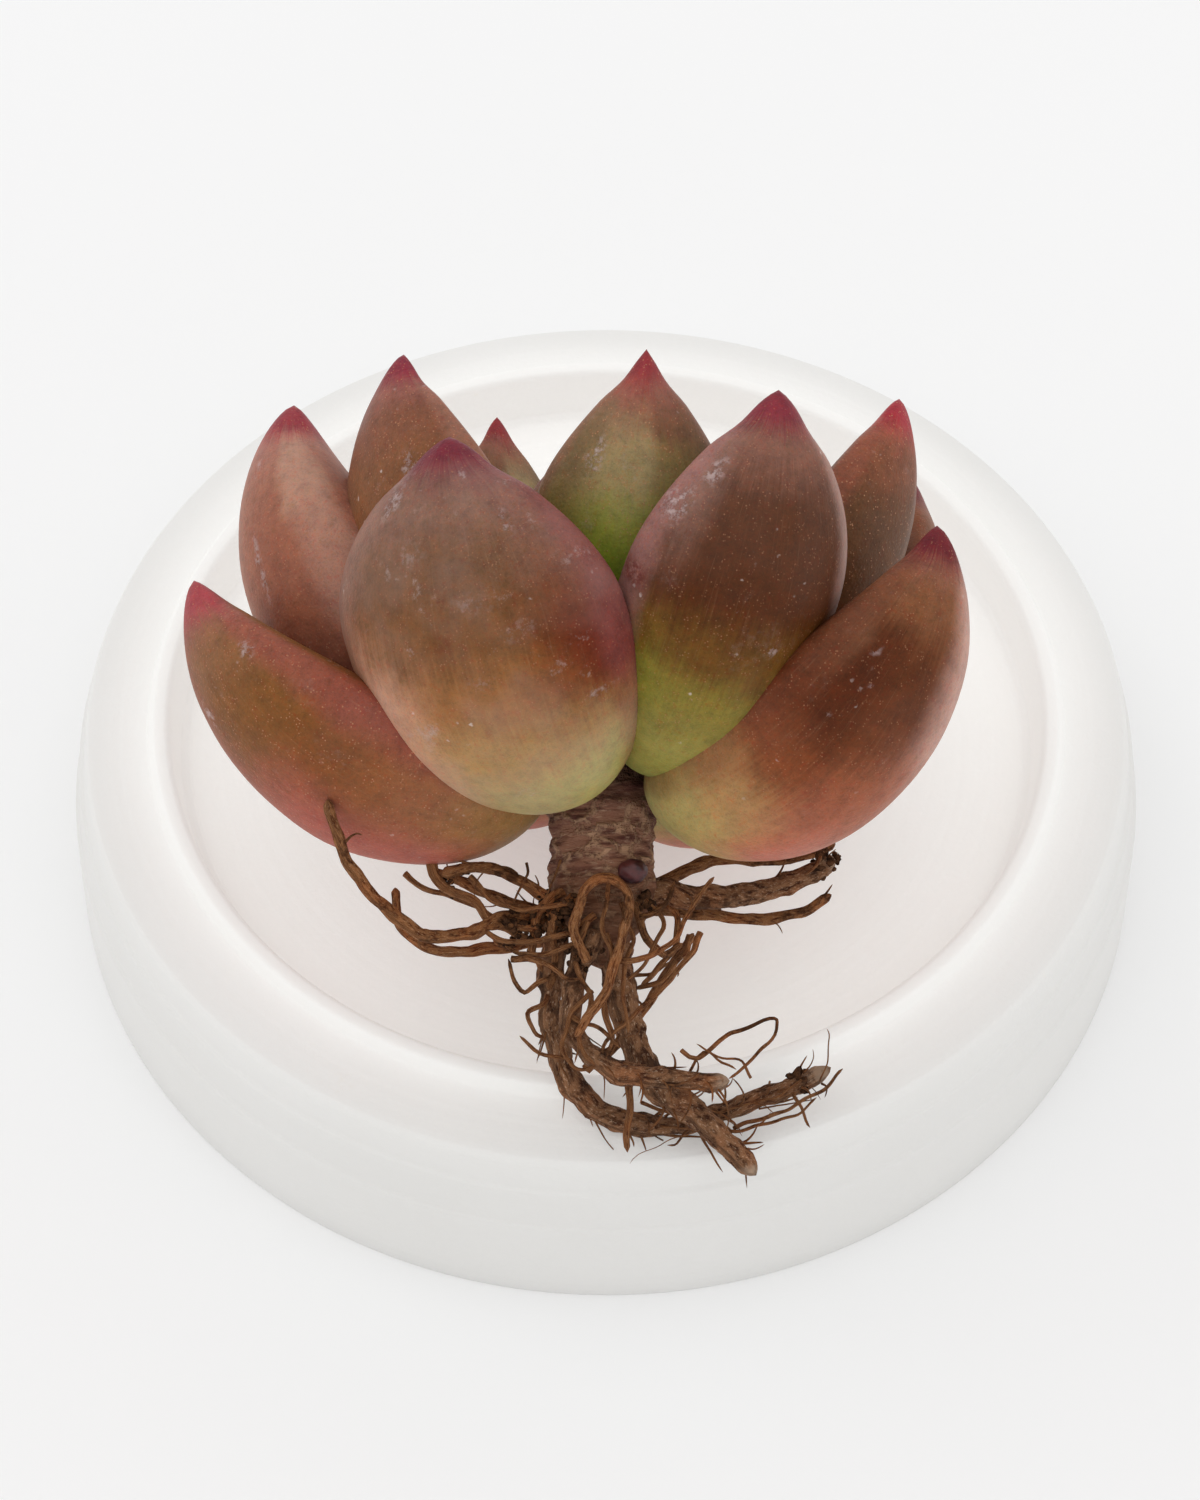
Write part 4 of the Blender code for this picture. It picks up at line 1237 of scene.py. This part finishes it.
def grow_hairs():
    chance = random.Random(HAIR_SEED)
    strands = []
    for name, count in SPROUTS.items():
        width, taper, course = ROOTS[name]
        line = smooth_course([Vector(p) for p in from_collar(course)], 0.5)
        for _ in range(count):
            at = chance.uniform(0.18, 0.98)
            i = min(len(line) - 2, int(at * (len(line) - 1)))
            forward = (line[i + 1] - line[i]).normalized()
            side = forward.orthogonal().normalized()
            side.rotate(Quaternion(forward, chance.uniform(0, math.tau)))
            heading = (forward * chance.uniform(0.4, 1.6) + side * chance.uniform(0.3, 0.8)).normalized()
            point = line[i] + side * width * 0.35
            length = chance.uniform(0.8, 2.2) if chance.random() < 0.6 else chance.uniform(2.2, 5.0)
            curl = Vector([chance.uniform(-1.0, 1.0) for _ in range(3)])
            hair = [tuple(point)]
            for _ in range(HAIR_JOINTS):
                heading = (heading + curl * 0.5 + Vector((0, 0, -0.15))).normalized()
                point = point + heading * length / HAIR_JOINTS
                hair.append(tuple(point))
            strands.append(sweep(hair, chance.uniform(0.14, 0.34), taper=0.4, sides=5, spacing=0.4,
                                 rough=0.1, wander=0.2, seed=chance.uniform(0, 90), blunt=0.4))
    print("hairs:", len(strands))
    return root_mesh("root_hairs", strands)


# %% [markdown]
# ## Soil crumbs and the dark bud
# Dry soil still clings where the roots leave the stem, as small dark crumbs, and a dormant bud, a
# round glossy purple bead, sits on the front of the stem. A crumb is a small icosphere pushed out
# of round. It is repeated at many seeded places on the roots, and all the crumbs are one mesh.

# %% Crumbs and bud
CRUMB_SPOTS = [((-3.6, -2.8, -11.4), 2.4, 110), ((-7.0, -3.0, -12.8), 2.0, 60),
               ((-1.6, -3.8, -14.6), 1.8, 44),
               ((3.6, -3.0, -9.6), 1.4, 24), ((19.4, 1.4, -6.6), 1.4, 46), ((17.2, 3.6, -25.0), 1.0, 12),
               ((8.6, 3.6, -28.6), 1.2, 10), ((-12.6, -3.4, -8.4), 1.2, 8)]


def crumb_pile():
    chance = random.Random(CRUMB_SEED)
    nothing_selected()
    bpy.ops.mesh.primitive_ico_sphere_add(subdivisions=2, radius=1.0)
    crumb = bpy.context.active_object
    start = [v.co.copy() for v in crumb.data.vertices]
    cells = [tuple(f.vertices) for f in crumb.data.polygons]
    bpy.data.objects.remove(crumb)
    ground = [p for width, taper, course in ROOTS.values()
              for p in sweep(from_collar(course), width, taper, sides=8, spacing=0.6)[0]]
    ground += [p for width, course in ROOTLETS
               for p in sweep(course, width, taper=0.6, sides=6, spacing=0.6)[0]]
    verts, faces = [], []
    for middle, spread, count in CRUMB_SPOTS:
        near = [p for p in ground if (p - Vector(middle)).length < spread]
        for _ in range(count if near else 0):
            at = chance.choice(near)
            size = chance.uniform(0.14, 0.30) * (1.7 if chance.random() < 0.25 else 1)
            seed = Vector((chance.uniform(0, 50), 0, 0))
            flat = Vector([chance.uniform(0.6, 1.3) for _ in range(3)])
            base = len(verts)
            verts += [in_plant(*(at + Vector((p.x * flat.x, p.y * flat.y, p.z * flat.z)) * size
                                 * (1 + 0.7 * noise.noise(p * 1.4 + seed)))) for p in start]
            faces += [tuple(i + base for i in cell) for cell in cells]
    pile = new_piece("soil_crumbs", verts, [], faces)
    close_up(pile)
    return pile


def soil_finish():
    material, tree, shader = blank_material("dry_soil", 0.95, 0.08)
    place = object_place(tree)
    grain = noise_of(tree, place, 1600.0, 4.0, 0.7)
    colour = lay_over(tree, soft_step(tree, grain, 0.35, 0.65), paint(36, 22, 14), paint(92, 62, 42))
    join(tree, shader, colour, None, grain, 0.15 * MM)
    return material


BUD_PLACE = (2.6, -4.1, -7.7)
BUD_RADIUS, BUD_STRETCH = 1.05, 1.25


def dark_bud():
    nothing_selected()
    bpy.ops.mesh.primitive_uv_sphere_add(segments=32, ring_count=20, radius=1.0)
    bud = bpy.context.active_object
    bud.name = "dormant_bud"
    for vertex in bud.data.vertices:
        x, y, z = vertex.co
        dimple = 0.16 * math.exp(-((x * x + z * z) / 0.08)) * (y < 0)
        size = BUD_RADIUS * (1 + 0.10 * noise.noise(vertex.co * 1.8) - dimple)
        middle_x, middle_y, middle_z = BUD_PLACE
        vertex.co = in_plant(middle_x + BUD_STRETCH * size * x, middle_y + size * y, middle_z + size * z)
    close_up(bud)
    material, tree, shader = blank_material("bud_skin", 0.35, 0.45)
    place = object_place(tree)
    patchy = noise_of(tree, place, 700.0, 4.0, 0.6)
    colour = lay_over(tree, soft_step(tree, patchy, 0.4, 0.65), paint(52, 20, 26), paint(96, 48, 48))
    rough = plus(tree, times(tree, patchy, 0.4), 0.18)
    join(tree, shader, colour, rough, patchy, 0.08 * MM)
    bud.data.materials.append(material)
    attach(bud, "root")
    return bud


crumbs = crumb_pile()
crumbs.data.materials.append(soil_finish())
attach(crumbs, "root")
bud = dark_bud()
print("crumb faces:", len(crumbs.data.polygons), "bud faces:", len(bud.data.polygons))

# %% Placing the fine roots
for piece, finish in ((lay_rootlets(), FINE_BARK), (grow_hairs(), FINE_BARK)):
    piece.data.materials.append(finish)
    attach(piece, "root")
    print(piece.name, "faces:", len(piece.data.polygons))
